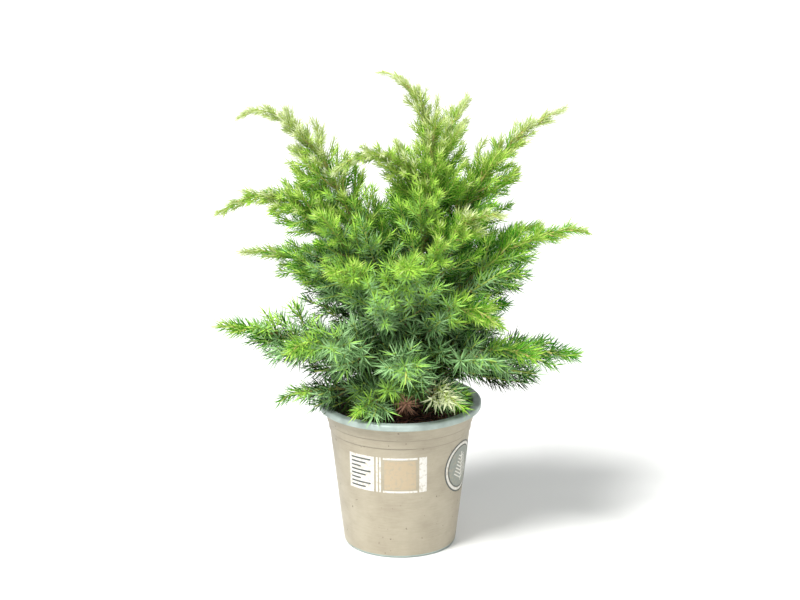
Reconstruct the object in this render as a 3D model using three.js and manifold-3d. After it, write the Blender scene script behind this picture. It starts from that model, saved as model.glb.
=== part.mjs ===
// A young blue swede juniper in its nine centimetre nursery pot.
// Millimetres, +Z up. The origin is the middle of the pot's flat underside, and the
// plant is seen from its front by looking along +Y.
//
// One short stem leans out of the peat. Boughs leave it all round and arch over at
// their ends. Each bough is bare near the stem and then carries one mass of foliage:
// a thinner stem of its own, side twigs turned round it by the golden angle, and
// needles that stand out of a slim core on each twig. A seeded rule grows them all.

import * as THREE from 'three';
import { mergeVertices } from 'three/addons/utils/BufferGeometryUtils.js';
import Module from 'manifold-3d';

const wasm = await Module();
wasm.setup();

// Pot
const POT_HEIGHT = 82;
const RIM_RADIUS = 45;
const RIM_DEPTH = 3.4;
const RIM_ROUND = 1.2;
const WALL_TOP_RADIUS = 41.3;
const BASE_RADIUS = 31;
const BASE_ROUND = 1.6;
const WALL = 1.1;
const FLOOR = 1.6;
const LEDGE_DROPS = [12, 7];
const LEDGE_STEP = 0.45;
const DRAIN_HOLES = 8;
const DRAIN_RADIUS = 3.5;
const DRAIN_CIRCLE = 22;
const DRAIN_SIDES = 10;
const POT_SIDES = 32;

// Peat that fills the pot
const PEAT_DEPTH_BELOW_RIM = 8.5;
const PEAT_BUMP = 0.8;
const PEAT_SHOULDER = 1.2;
const PEAT_LEVEL_SPOT = 8;
const PEAT_RINGS = 4;

// Stem
const STEM_HEIGHT = 58;
const STEM_RADIUS = 2.9;
const STEM_TIP_RADIUS = 1.4;
const FLARE_RADIUS = 4.4;
const FLARE_HEIGHT = 7;
const STEM_LEAN = [0.10, 0.02];
const STEM_SIDES = 9;
const STEM_STEPS = 4;

// Boughs
const BOUGH_RADIUS = 1.5;
const BOUGH_RADIUS_LENGTH = 150;
const BOUGH_TIP_RADIUS = 0.9;
const BOUGH_TAPER = 0.8;
const BOUGH_SIDES = 5;
const BOUGH_STEPS = 5;
const BARE_SHARE = 0.2;
const PATH_STEPS = 24;

// Foliage
const TWIG_PITCH = 6.6;
const TWIG_PLACE_PLAY = 0.4;
const TWIG_LENGTH_PLAY = 0.2;
const TWIG_TAPER = 1.3;
const INNER_TWIG_SHARE = 0.85;
const GOLDEN_ANGLE = 137.5;
const TWIG_ROLL_PLAY = 40;
const TWIG_ANGLE_INNER = 52;
const TWIG_ANGLE_OUTER = 27;
const TWIG_LENGTH_LEAST = 5;
const SPREAD_BASE = 20;
const SPREAD_SHARE = 0.16;
const RIM_SPREAD_SHARE = 0.6;
const UPPER_SIDE_LOSS = 0.5;
const FORWARD_BEND = 0.25;
const UPWARD_BEND = 0.05;
const ROOT_RADIUS = 0.4;
const ROOT_LENGTH = 4;
const ROOT_SHARE = 0.3;
const CORE_RADIUS = 1.5;
const CORE_TAPER = 0.4;
const SPRAY_STEP = 8.5;
const SPRAY_TWIST = 47;
const MASS_STEM_STEP = 16;
const MASS_STEM_END = 0.6;
const END_SHOOT = 24;
const END_SHARE = 0.3;
const END_OVERLAP = 2;
const NEEDLE_LENGTH = [10, 14];
const NEEDLE_LEAN = 42;
const SEED = 113;
const SEED_STEP = 37;
const NEARLY_UPRIGHT = 0.2;

// Clearances
const GAP = 0.3;
const SPLINTER = 0.04;
const SPACE_MARGIN = 1;
const POT_CLEARANCE = 2;
const TWIG_CLEARANCE = 3;
const NEEDLE_CLEARANCE = 1.6;

const PEAT_TOP = POT_HEIGHT - PEAT_DEPTH_BELOW_RIM;
const STEM_FOOT = PEAT_TOP + GAP;

// Each bough: height of its foot on the stem, azimuth, elevation where it leaves the
// stem, elevation at its tip, how late it nods over, and length along its curve.
const BOUGHS = [
  { name: 'low_left', foot: 8, azimuth: 192, launch: 42, tip: 6, late: 1.2, length: 114 },
  { name: 'low_rim_left', foot: 4, azimuth: 203, launch: 30, tip: -14, late: 1.4, length: 72 },
  { name: 'low_front_left', foot: 5, azimuth: 243, launch: 36, tip: -12, late: 1.2, length: 48 },
  { name: 'low_front_right', foot: 8, azimuth: 304, launch: 42, tip: -20, late: 1.2, length: 56 },
  { name: 'low_front', foot: 12, azimuth: 272, launch: 52, tip: -14, late: 1.5, length: 74 },
  { name: 'low_left_front', foot: 15, azimuth: 224, launch: 48, tip: -6, late: 1.5, length: 94 },
  { name: 'low_right_front', foot: 11, azimuth: 330, launch: 46, tip: -10, late: 1.5, length: 90 },
  { name: 'low_right', foot: 7, azimuth: 350, launch: 40, tip: -10, late: 1.3, length: 104 },
  { name: 'low_back_right', foot: 9, azimuth: 46, launch: 44, tip: -4, late: 1.3, length: 94 },
  { name: 'low_back', foot: 5, azimuth: 88, launch: 38, tip: -12, late: 1.3, length: 80 },
  { name: 'low_back_left', foot: 8, azimuth: 124, launch: 42, tip: -2, late: 1.3, length: 68 },
  { name: 'mid_left', foot: 18, azimuth: 172, launch: 61, tip: -8, late: 2.2, length: 119 },
  { name: 'mid_front_left', foot: 22, azimuth: 232, launch: 70, tip: 5, late: 2, length: 104 },
  { name: 'mid_front', foot: 28, azimuth: 272, launch: 74, tip: 0, late: 2, length: 100 },
  { name: 'mid_front_right', foot: 17, azimuth: 318, launch: 68, tip: -35, late: 2, length: 96 },
  { name: 'mid_right', foot: 26, azimuth: 358, launch: 60, tip: -5, late: 2, length: 134 },
  { name: 'mid_back_right', foot: 19, azimuth: 30, launch: 62, tip: 0, late: 2, length: 122 },
  { name: 'mid_back', foot: 30, azimuth: 92, launch: 66, tip: 4, late: 2, length: 120 },
  { name: 'mid_back_left', foot: 25, azimuth: 136, launch: 60, tip: -14, late: 2, length: 102 },
  { name: 'upper_left', foot: 31, azimuth: 190, launch: 66, tip: -42, late: 3.2, length: 152 },
  { name: 'high_left', foot: 42, azimuth: 180, launch: 66, tip: -30, late: 7, length: 165 },
  { name: 'high_arch', foot: 38, azimuth: 206, launch: 106, tip: -42, late: 2.6, length: 149 },
  { name: 'high_front_right', foot: 35, azimuth: 322, launch: 72, tip: 5, late: 3, length: 112 },
  { name: 'high_right', foot: 44, azimuth: 8, launch: 68, tip: 22, late: 3, length: 152 },
  { name: 'high_back_left', foot: 37, azimuth: 120, launch: 62, tip: -8, late: 3, length: 104 },
  { name: 'high_back_right', foot: 47, azimuth: 62, launch: 72, tip: 18, late: 3, length: 142 },
];
const LEADER = { name: 'leader', azimuth: 171, launch: 100, tip: 12, late: 4, length: 145 };

const radians = THREE.MathUtils.degToRad;

function direction(azimuth, elevation) {
  const flat = Math.cos(radians(elevation));
  const x = flat * Math.cos(radians(azimuth));
  const y = flat * Math.sin(radians(azimuth));
  return new THREE.Vector3(x, y, Math.sin(radians(elevation)));
}

// A small dice that gives the same throws each run, each from 0 up to 1.
function makeDice(seed) {
  let state = seed >>> 0;
  return () => {
    state = (Math.imul(state, 1664525) + 1013904223) >>> 0;
    return state / 4294967296;
  };
}

// A geometry as a solid that can be joined and cut, and a solid as a geometry again.
function toSolid(geometry) {
  const bare = geometry.clone();
  bare.deleteAttribute('normal');
  bare.deleteAttribute('uv');
  const merged = mergeVertices(bare, 1e-4);
  return new wasm.Manifold(new wasm.Mesh({
    numProp: 3,
    vertProperties: new Float32Array(merged.attributes.position.array),
    triVerts: new Uint32Array(merged.index.array),
  }));
}

function toGeometry(solid) {
  const mesh = solid.getMesh();
  const geometry = new THREE.BufferGeometry();
  geometry.setAttribute('position', new THREE.BufferAttribute(mesh.vertProperties, 3));
  geometry.setIndex(new THREE.BufferAttribute(mesh.triVerts, 1));
  geometry.computeVertexNormals();
  return geometry;
}

// The thin splinters along the joins are merged into their neighbours. Fusing can seal
// a hollow or leave a scrap too: only the largest outer surface is kept.
function fuse(solids) {
  const pieces = wasm.Manifold.union(solids).asOriginal().simplify(SPLINTER).decompose();
  return pieces.reduce((best, piece) => (piece.volume() > best.volume() ? piece : best));
}

function facets(points, triangles) {
  const geometry = new THREE.BufferGeometry().setFromPoints(points);
  geometry.setIndex(triangles);
  return geometry;
}

// A limb with flat ends: one ring of points round each point of its line, square to
// the line, or level where the limb is asked to be cut level.
function limb(line, radii, sides, level = false) {
  const points = [];
  const triangles = [];
  const last = line.length - 1;
  const side = new THREE.Vector3(0.31, 0.95, 0.07);
  line.forEach((centre, i) => {
    const along = line[Math.min(i + 1, last)].clone().sub(line[Math.max(i - 1, 0)]).normalize();
    if (level) {
      along.set(0, 0, 1);
    }
    side.addScaledVector(along, -side.dot(along)).normalize();
    for (let k = 0; k < sides; k += 1) {
      const spoke = side.clone().applyAxisAngle(along, (2 * Math.PI * k) / sides);
      points.push(centre.clone().addScaledVector(spoke, radii[i]));
    }
  });
  for (let i = 0; i < last; i += 1) {
    for (let k = 0; k < sides; k += 1) {
      const a = i * sides + k;
      const b = i * sides + ((k + 1) % sides);
      triangles.push(a, b, b + sides, a, b + sides, a + sides);
    }
  }
  const end = last * sides;
  for (let k = 1; k + 1 < sides; k += 1) {
    triangles.push(0, k + 1, k);
    triangles.push(end, end + k, end + k + 1);
  }
  return facets(points, triangles);
}

// Lines of the stem and the boughs.
function stemPoint(height) {
  return new THREE.Vector3(STEM_LEAN[0] * height, STEM_LEAN[1] * height, STEM_FOOT + height);
}

function archedLine(from, { azimuth, launch, tip, late, length }) {
  const points = [from.clone()];
  const step = length / PATH_STEPS;
  for (let i = 0; i < PATH_STEPS; i += 1) {
    const share = (i + 0.5) / PATH_STEPS;
    const elevation = launch + (tip - launch) * share ** late;
    points.push(points[i].clone().addScaledVector(direction(azimuth, elevation), step));
  }
  return points;
}

function alongLine(line, share) {
  const place = Math.min(Math.max(share, 0), 1) * (line.length - 1);
  const i = Math.min(Math.floor(place), line.length - 2);
  const point = line[i].clone().lerp(line[i + 1], place - i);
  const heading = line[i + 1].clone().sub(line[i]).normalize();
  return { point, heading };
}

function distanceToLine(point, line) {
  const segment = new THREE.Line3();
  const nearest = new THREE.Vector3();
  let least = Infinity;
  for (let i = 0; i + 1 < line.length; i += 1) {
    segment.set(line[i], line[i + 1]);
    segment.closestPointToPoint(point, true, nearest);
    least = Math.min(least, nearest.distanceTo(point));
  }
  return least;
}

const stemLine = [0, 0.25, 0.5, 0.75, 1].map((share) => stemPoint(STEM_HEIGHT * share));
const lines = { main_stem: stemLine };
for (const bough of BOUGHS) {
  lines[bough.name] = archedLine(stemPoint(bough.foot), bough);
}
lines.leader = archedLine(stemPoint(STEM_HEIGHT + 2 * GAP), LEADER);

// Each mass keeps to the space nearest its own line, above the peat and off the rim.
function clearOfPot(point) {
  const out = Math.hypot(point.x, point.y);
  if (out > RIM_RADIUS + POT_CLEARANCE) {
    return true;
  }
  const inside = out < WALL_TOP_RADIUS - WALL - POT_CLEARANCE;
  return point.z > (inside ? PEAT_TOP : POT_HEIGHT) + POT_CLEARANCE;
}

function inOwnSpace(points, name) {
  return points.every((point) => {
    if (!clearOfPot(point)) {
      return false;
    }
    const own = distanceToLine(point, lines[name]) + SPACE_MARGIN;
    return Object.keys(lines).every((other) => {
      return other === name || distanceToLine(point, lines[other]) > own;
    });
  });
}

// The pot's wall from its foot to the underside of the rim, as [radius, height]: a
// straight taper with a stacking ledge at each drop below the rim.
const UNDER_RIM = POT_HEIGHT - RIM_DEPTH;

function wallProfile() {
  const taper = (WALL_TOP_RADIUS - BASE_RADIUS) / UNDER_RIM;
  const points = [[BASE_RADIUS, BASE_ROUND]];
  LEDGE_DROPS.forEach((drop, i) => {
    const height = UNDER_RIM - drop;
    const inset = LEDGE_STEP * (LEDGE_DROPS.length - i);
    const radius = BASE_RADIUS + taper * height - inset;
    points.push([radius, height], [radius + LEDGE_STEP, height + LEDGE_STEP]);
  });
  points.push([WALL_TOP_RADIUS, UNDER_RIM]);
  return points;
}

function lathe(profile) {
  const outline = profile.map(([radius, height]) => new THREE.Vector2(radius, height));
  return new THREE.LatheGeometry(outline, POT_SIDES).rotateX(Math.PI / 2);
}

function potSolid() {
  const wall = wallProfile();
  const [ledgeRadius, ledgeHeight] = wall[1];
  const shell = lathe([
    [0, 0],
    [BASE_RADIUS - BASE_ROUND, 0],
    ...wall,
    [RIM_RADIUS - RIM_ROUND / 2, UNDER_RIM],
    [RIM_RADIUS, UNDER_RIM + RIM_ROUND / 2],
    [RIM_RADIUS, POT_HEIGHT - RIM_ROUND],
    [RIM_RADIUS - RIM_ROUND * 0.3, POT_HEIGHT - RIM_ROUND * 0.3],
    [RIM_RADIUS - RIM_ROUND, POT_HEIGHT],
    [WALL_TOP_RADIUS - WALL + RIM_ROUND, POT_HEIGHT],
    [WALL_TOP_RADIUS - WALL, POT_HEIGHT - RIM_ROUND],
    [ledgeRadius - WALL, ledgeHeight],
    [BASE_RADIUS - WALL, FLOOR],
    [0, FLOOR],
  ]);
  let pot = toSolid(shell);
  for (let i = 0; i < DRAIN_HOLES; i += 1) {
    const turn = (2 * Math.PI * (i + 0.5)) / DRAIN_HOLES;
    const hole = new THREE.CylinderGeometry(DRAIN_RADIUS, DRAIN_RADIUS, 3 * FLOOR, DRAIN_SIDES);
    hole.rotateX(Math.PI / 2);
    hole.translate(DRAIN_CIRCLE * Math.cos(turn), DRAIN_CIRCLE * Math.sin(turn), FLOOR / 2);
    pot = pot.subtract(toSolid(hole));
  }
  return pot;
}

// The peat stands clear of the pot's wall and floor and is uneven on top, but level
// where the stem comes out of it.
function peatSolid() {
  const edge = PEAT_TOP - PEAT_SHOULDER;
  const [ledgeRadius, ledgeHeight] = wallProfile()[1];
  const widest = ledgeRadius - WALL - GAP;
  const foot = [BASE_RADIUS - WALL - GAP, FLOOR + GAP];
  const profile = [[0, FLOOR + GAP], foot, [widest, ledgeHeight], [widest, edge]];
  for (let i = PEAT_RINGS; i >= 0; i -= 1) {
    profile.push([((widest - PEAT_SHOULDER) * i) / PEAT_RINGS, PEAT_TOP]);
  }
  const shape = lathe(profile);
  const spots = shape.attributes.position;
  for (let i = 0; i < spots.count; i += 1) {
    const x = spots.getX(i);
    const y = spots.getY(i);
    if (spots.getZ(i) > edge + GAP && Math.hypot(x, y) > PEAT_LEVEL_SPOT) {
      const swell = Math.sin(0.31 * x + 1.2) * Math.cos(0.27 * y - 0.4);
      const ripple = 0.4 * Math.sin(0.83 * x - 0.71 * y);
      spots.setZ(i, PEAT_TOP + PEAT_BUMP * (swell + ripple - 0.4));
    }
  }
  return toSolid(shape);
}

// The stem tapers all the way up and flares out over its lowest few millimetres.
function stemRadius(height) {
  const taper = STEM_RADIUS + (STEM_TIP_RADIUS - STEM_RADIUS) * (height / STEM_HEIGHT);
  const flare = Math.max(0, 1 - height / FLARE_HEIGHT) ** 2;
  return taper + (FLARE_RADIUS - STEM_RADIUS) * flare;
}

function stemSolid(extra) {
  const heights = [0, FLARE_HEIGHT * 0.3, FLARE_HEIGHT];
  for (let i = 1; i <= STEM_STEPS; i += 1) {
    heights.push(THREE.MathUtils.lerp(FLARE_HEIGHT, STEM_HEIGHT, i / STEM_STEPS));
  }
  const radii = heights.map((height) => stemRadius(height) + extra);
  heights[heights.length - 1] += extra;
  return toSolid(limb(heights.map(stemPoint), radii, STEM_SIDES, true));
}

// A bough is as stout at its foot as its length asks, and tapers to where its mass begins.
function footRadius(length) {
  return BOUGH_RADIUS * Math.sqrt(length / BOUGH_RADIUS_LENGTH);
}

function tipRadius(length) {
  return Math.min(BOUGH_TIP_RADIUS, footRadius(length) * BOUGH_TAPER);
}

function boughSolid(bough, extra) {
  const line = [];
  const radii = [];
  for (let i = 0; i <= BOUGH_STEPS; i += 1) {
    const share = i / BOUGH_STEPS;
    line.push(alongLine(lines[bough.name], BARE_SHARE * share).point);
    radii.push(THREE.MathUtils.lerp(footRadius(bough.length), tipRadius(bough.length), share) + extra);
  }
  return toSolid(limb(line, radii, BOUGH_SIDES));
}

// The direction that leaves a heading at an angle, rolled round it from the level side.
function leaving(heading, roll, angle) {
  const side = new THREE.Vector3(0, 0, 1).cross(heading);
  if (side.length() < NEARLY_UPRIGHT) {
    side.set(1, 0, 0).cross(heading);
  }
  const outward = side.normalize().applyAxisAngle(heading, radians(roll));
  return heading.clone().multiplyScalar(Math.cos(radians(angle)))
    .addScaledVector(outward, Math.sin(radians(angle)));
}

// One side twig: it leaves its parent at an angle, then bends forward and up.
function twigCurve(from, heading, roll, angle, length) {
  const start = leaving(heading, roll, angle);
  return (share) => {
    const bend = length * share * share;
    const point = from.clone().addScaledVector(start, length * share);
    point.addScaledVector(heading, FORWARD_BEND * bend);
    point.z += UPWARD_BEND * bend;
    return point;
  };
}

function clearOfLines(points, others, clearance) {
  return others.every((line) => points.every((point) => distanceToLine(point, line) > clearance));
}

// How far the side twigs of a mass reach. The one that lies on the pot's rim is thin.
function spreadOf(bough) {
  const share = bough.name === 'low_rim_left' ? RIM_SPREAD_SHARE : 1;
  return share * (SPREAD_BASE + SPREAD_SHARE * bough.length);
}

// The side twigs of one mass, shorter on the upper side of a limb that leans over. One
// that would leave the mass's own space, or come close to an earlier twig, is made
// shorter still, and is left out where that doesn't help.
function placeTwigs(bough, from, dice) {
  const spread = spreadOf(bough);
  const count = Math.floor((bough.length * (1 - from)) / TWIG_PITCH);
  const twigs = [];
  for (let i = 0; i < count; i += 1) {
    const out = (i + TWIG_PLACE_PLAY * (1 + dice())) / count;
    const roll = GOLDEN_ANGLE * i + TWIG_ROLL_PLAY * dice();
    const inner = Math.min(1, INNER_TWIG_SHARE + 2 * out);
    const luck = 1 + TWIG_LENGTH_PLAY * (2 * dice() - 1);
    const angle = TWIG_ANGLE_INNER + (TWIG_ANGLE_OUTER - TWIG_ANGLE_INNER) * out;
    const { point, heading } = alongLine(lines[bough.name], from + (1 - from) * out);
    const kept = 1 - UPPER_SIDE_LOSS * Math.max(0, leaving(heading, roll, 90).z);
    const full = (spread * (1 - out) ** TWIG_TAPER + TWIG_LENGTH_LEAST) * inner * luck * kept;
    for (const shorter of [1, 0.8, 0.6, 0.4]) {
      const length = full * shorter;
      const curve = twigCurve(point, heading, roll, angle, length);
      const spots = [0.4, 0.55, 0.7, 0.85, 1].map(curve);
      const free = clearOfLines(spots, twigs.map((twig) => twig.line), TWIG_CLEARANCE);
      if (free && inOwnSpace([curve(0.25), ...spots], bough.name)) {
        twigs.push({ curve, length, line: [0, 0.25, 0.5, 0.75, 1].map(curve) });
        break;
      }
    }
  }
  return twigs;
}

// A spray: a slim three-sided core, some of whose faces are drawn out into needles. A
// needle that would leave the mass's space or touch anything in it is left out.
function spraySolid(twig, name, obstacles, dice) {
  const { curve, length } = twig;
  const bareRoot = Math.min(ROOT_LENGTH / length, ROOT_SHARE);
  const steps = Math.max(2, 1 + Math.round((length * (1 - bareRoot)) / SPRAY_STEP));
  const share = (i) => (i === 0 ? 0 : bareRoot + ((1 - bareRoot) * (i - 1)) / (steps - 1));
  const points = [];
  const triangles = [0, 2, 1];
  const others = obstacles.filter((one) => one !== twig.line);

  const drawOut = (a, b, c, centre, heading) => {
    const foot = points[a].clone().add(points[b]).add(points[c]).divideScalar(3);
    const outward = foot.clone().sub(centre);
    outward.addScaledVector(heading, -outward.dot(heading)).normalize();
    const along = heading.clone().multiplyScalar(Math.cos(radians(NEEDLE_LEAN)));
    along.addScaledVector(outward, Math.sin(radians(NEEDLE_LEAN)));
    const reach = THREE.MathUtils.lerp(NEEDLE_LENGTH[0], NEEDLE_LENGTH[1], dice());
    const spots = [0.3, 0.65, 1].map((part) => foot.clone().addScaledVector(along, reach * part));
    if (!clearOfLines(spots, others, NEEDLE_CLEARANCE) || !inOwnSpace(spots, name)) {
      triangles.push(a, b, c);
      return;
    }
    others.push([foot, spots[2]]);
    obstacles.push([foot, spots[2]]);
    const point = points.push(spots[2]) - 1;
    triangles.push(a, b, point, b, c, point, c, a, point);
  };

  const centres = [];
  const headings = [];
  for (let i = 0; i < steps; i += 1) {
    centres.push(curve(share(i)));
    headings.push(curve(share(i + 1)).sub(centres[i]).normalize());
    const radius = i === 0 ? ROOT_RADIUS : CORE_RADIUS * (1 - CORE_TAPER * share(i));
    for (let k = 0; k < 3; k += 1) {
      const spoke = leaving(headings[i], SPRAY_TWIST * i + 120 * k, 90);
      points.push(centres[i].clone().addScaledVector(spoke, radius));
    }
  }
  const tip = points.push(curve(1)) - 1;
  for (let i = 0; i < steps; i += 1) {
    const bare = Math.floor(3 * dice());
    for (let k = 0; k < 3; k += 1) {
      const a = 3 * i + k;
      const b = 3 * i + ((k + 1) % 3);
      if (i + 1 === steps) {
        triangles.push(a, b, tip);
      } else if (i === 0 || k === bare) {
        triangles.push(a, b, b + 3, a, b + 3, a + 3);
      } else {
        drawOut(a, b, b + 3, centres[i], headings[i]);
        triangles.push(a, b + 3, a + 3);
      }
    }
  }
  return toSolid(facets(points, triangles));
}

// One mass of foliage: its own thin stem, which ends in a spray of its own at the
// bough's tip, and a spray on each side twig.
function massSolid(bough, from, startRadius, seed) {
  const dice = makeDice(seed);
  const shoot = Math.min(END_SHOOT / bough.length, END_SHARE);
  const stemShare = 1 - shoot - from + END_OVERLAP / bough.length;
  const steps = Math.max(3, Math.round((bough.length * stemShare) / MASS_STEM_STEP));
  const stem = [];
  const radii = [];
  for (let i = 0; i <= steps; i += 1) {
    stem.push(alongLine(lines[bough.name], from + stemShare * (i / steps)).point);
    radii.push(THREE.MathUtils.lerp(startRadius, MASS_STEM_END, i / steps));
  }
  const twigs = placeTwigs(bough, from, dice);
  const ending = (share) => alongLine(lines[bough.name], 1 - shoot * (1 - share)).point;
  twigs.push({ curve: ending, length: shoot * bough.length, line: [0, 0.5, 1].map(ending) });
  const obstacles = [stem, ...twigs.map((twig) => twig.line)];
  const sprays = twigs.map((twig) => spraySolid(twig, bough.name, obstacles, dice));
  return fuse([toSolid(limb(stem, radii, 3)), ...sprays]);
}

// Finishes
const moulded = new THREE.MeshStandardMaterial({ color: '#b3ae9f', roughness: 0.5, metalness: 0 });
const peat = new THREE.MeshStandardMaterial({ color: '#3d2c20', roughness: 1, metalness: 0 });
const bark = new THREE.MeshStandardMaterial({ color: '#7a5738', roughness: 0.9, metalness: 0 });
const foliage = [
  new THREE.MeshStandardMaterial({ color: '#5d7d55', roughness: 0.7, metalness: 0 }),
  new THREE.MeshStandardMaterial({ color: '#6f9450', roughness: 0.7, metalness: 0 }),
  new THREE.MeshStandardMaterial({ color: '#8db04c', roughness: 0.7, metalness: 0 }),
];

const plant = new THREE.Group();

function addNode(name, solid, material) {
  const mesh = new THREE.Mesh(toGeometry(solid), material);
  mesh.name = name;
  plant.add(mesh);
}

addNode('pot', potSolid(), moulded);
addNode('peat', peatSolid(), peat);
addNode('main_stem', stemSolid(0), bark);

// Each bough is cut clear of the stem and of the boughs before it.
let taken = stemSolid(GAP);
BOUGHS.forEach((bough, i) => {
  addNode(`bough_${bough.name}`, fuse([boughSolid(bough, 0).subtract(taken)]), bark);
  taken = taken.add(boughSolid(bough, GAP));
  const from = BARE_SHARE + GAP / bough.length;
  const level = ['low', 'mid', 'upper', 'high'].indexOf(bough.name.split('_')[0]);
  const mass = massSolid(bough, from, tipRadius(bough.length), SEED + SEED_STEP * i);
  addNode(`foliage_${bough.name}`, mass, foliage[Math.min(level, 2)]);
});
addNode('foliage_leader', massSolid(LEADER, 0, STEM_TIP_RADIUS, SEED - SEED_STEP), foliage[2]);

export default plant;
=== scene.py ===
# The finish of a young blue swede juniper in its nine centimetre nursery pot: printed
# pot, peat, barked stem and boughs, and every twig and needle of the crown.
import math

import bpy
import numpy as np
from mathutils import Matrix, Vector, noise


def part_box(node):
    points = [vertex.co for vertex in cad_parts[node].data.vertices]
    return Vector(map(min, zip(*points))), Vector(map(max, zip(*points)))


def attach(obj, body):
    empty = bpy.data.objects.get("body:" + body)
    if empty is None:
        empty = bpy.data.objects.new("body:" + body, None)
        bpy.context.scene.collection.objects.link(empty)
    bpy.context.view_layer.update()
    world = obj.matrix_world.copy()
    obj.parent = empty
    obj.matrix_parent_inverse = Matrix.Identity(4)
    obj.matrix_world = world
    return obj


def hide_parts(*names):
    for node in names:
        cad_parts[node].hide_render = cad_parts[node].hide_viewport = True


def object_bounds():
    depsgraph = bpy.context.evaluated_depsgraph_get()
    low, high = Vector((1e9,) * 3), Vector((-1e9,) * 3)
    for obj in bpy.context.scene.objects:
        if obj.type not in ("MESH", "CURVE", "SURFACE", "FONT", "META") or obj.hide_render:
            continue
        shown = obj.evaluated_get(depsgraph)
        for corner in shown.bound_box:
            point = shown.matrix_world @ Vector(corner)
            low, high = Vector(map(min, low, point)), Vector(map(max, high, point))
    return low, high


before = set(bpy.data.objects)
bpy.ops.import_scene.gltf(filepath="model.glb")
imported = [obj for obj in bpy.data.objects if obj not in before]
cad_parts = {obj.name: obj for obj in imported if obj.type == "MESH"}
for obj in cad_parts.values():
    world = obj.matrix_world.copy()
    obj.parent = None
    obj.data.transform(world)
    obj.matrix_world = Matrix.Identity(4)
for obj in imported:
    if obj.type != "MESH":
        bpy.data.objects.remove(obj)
cad_low, cad_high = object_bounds()
MM = 0.001

# The studio: a camera that looks down on the plant as the photo does, a plain white
# paper floor, one broad soft light at the upper left and weaker ones in front and behind.
CAMERA_DROP = math.radians(16.5)
CAMERA_DISTANCE = 1.25
CAMERA_LENS = 103
CAMERA_AIM = Vector((0.000, 0.000, 0.139))
FLOOR_RADIUS = 9.0
FLOOR_SIDES = 96
PAPER_WHITE = "#e8e8e5"
SKY_WHITE = "#f7faff"
SKY_STRENGTH = 0.38
SOFT_LIGHTS = [
    ("key_light", (-0.62, -0.66, 1.35), 20, 4.3),
    ("front_light", (0.10, -1.00, 0.42), 60, 0.65),
    ("back_light", (0.50, 1.00, 1.10), 50, 1.0),
]


def to_linear(code):
    """An sRGB hex colour as linear red, green, blue and alpha."""
    shares = [int(code[i:i + 2], 16) / 255 for i in (1, 3, 5)]
    linear = [s / 12.92 if s <= 0.04045 else ((s + 0.055) / 1.055) ** 2.4 for s in shares]
    return (*linear, 1.0)


def new_material(name):
    material = bpy.data.materials.new(name)
    material.use_nodes = True
    material.node_tree.nodes.clear()
    return material, material.node_tree


def add_node(tree, kind, inputs, stops=(), **settings):
    """Adds one shader node. An input is a plain value, or another node's output to link.

    A colour ramp takes stops too, each of them a share of the way and a hex colour.
    """
    node = tree.nodes.new("ShaderNode" + kind)
    for name, value in settings.items():
        setattr(node, name, value)
    for i, (share, colour) in enumerate(stops):
        node.color_ramp.elements[i].position = share
        node.color_ramp.elements[i].color = to_linear(colour)
    for socket, value in inputs.items():
        if isinstance(value, bpy.types.NodeSocket):
            tree.links.new(value, node.inputs[socket])
        else:
            node.inputs[socket].default_value = value
    return node


def mesh_object(name, points, faces, materials, face_material=None, smooth=False):
    """A mesh object from arrays: faces is a list of index arrays, each of one face size."""
    mesh = bpy.data.meshes.new(name)
    mesh.vertices.add(len(points))
    mesh.vertices.foreach_set("co", np.asarray(points, np.float32).ravel())
    sizes = np.concatenate([np.full(len(f), f.shape[1]) for f in faces])
    corners = np.concatenate([f.ravel() for f in faces])
    mesh.loops.add(len(corners))
    mesh.loops.foreach_set("vertex_index", corners.astype(np.int32))
    mesh.polygons.add(len(sizes))
    starts = np.concatenate([[0], np.cumsum(sizes)[:-1]])
    mesh.polygons.foreach_set("loop_start", starts.astype(np.int32))
    mesh.polygons.foreach_set("loop_total", sizes.astype(np.int32))
    if face_material is not None:
        mesh.polygons.foreach_set("material_index", np.asarray(face_material, np.int32))
    mesh.polygons.foreach_set("use_smooth", np.full(len(sizes), smooth))
    mesh.update(calc_edges=True)
    for material in materials:
        mesh.materials.append(material)
    made = bpy.data.objects.new(name, mesh)
    bpy.context.scene.collection.objects.link(made)
    return made


bpy.context.scene.view_settings.view_transform = "Standard"

camera_data = bpy.data.cameras.new("camera")
camera_data.lens = CAMERA_LENS
camera = bpy.data.objects.new("camera", camera_data)
toward_camera = Vector((0, -math.cos(CAMERA_DROP), math.sin(CAMERA_DROP)))
camera.location = CAMERA_AIM + toward_camera * CAMERA_DISTANCE
camera.rotation_euler = (-toward_camera).to_track_quat("-Z", "Y").to_euler()
bpy.context.scene.collection.objects.link(camera)
bpy.context.scene.camera = camera

for light_name, toward, softness, strength in SOFT_LIGHTS:
    light_data = bpy.data.lights.new(light_name, "SUN")
    light_data.angle = math.radians(softness)
    light_data.energy = strength
    light = bpy.data.objects.new(light_name, light_data)
    light.rotation_euler = (-Vector(toward)).to_track_quat("-Z", "Y").to_euler()
    bpy.context.scene.collection.objects.link(light)

world = bpy.data.worlds.new("studio")
world.use_nodes = True
world.node_tree.nodes["Background"].inputs["Color"].default_value = to_linear(SKY_WHITE)
world.node_tree.nodes["Background"].inputs["Strength"].default_value = SKY_STRENGTH
bpy.context.scene.world = world

paper, tree = new_material("matt_white_paper")
shader = add_node(tree, "BsdfPrincipled", {"Base Color": to_linear(PAPER_WHITE), "Roughness": 0.9})
add_node(tree, "OutputMaterial", {"Surface": shader.outputs["BSDF"]})
turns = np.linspace(0, 2 * np.pi, FLOOR_SIDES, endpoint=False)
floor_points = np.stack([np.cos(turns), np.sin(turns), np.zeros(FLOOR_SIDES)], 1) * FLOOR_RADIUS
floor = mesh_object("studio_floor", floor_points, [np.arange(FLOOR_SIDES)[None]], [paper])

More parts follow.
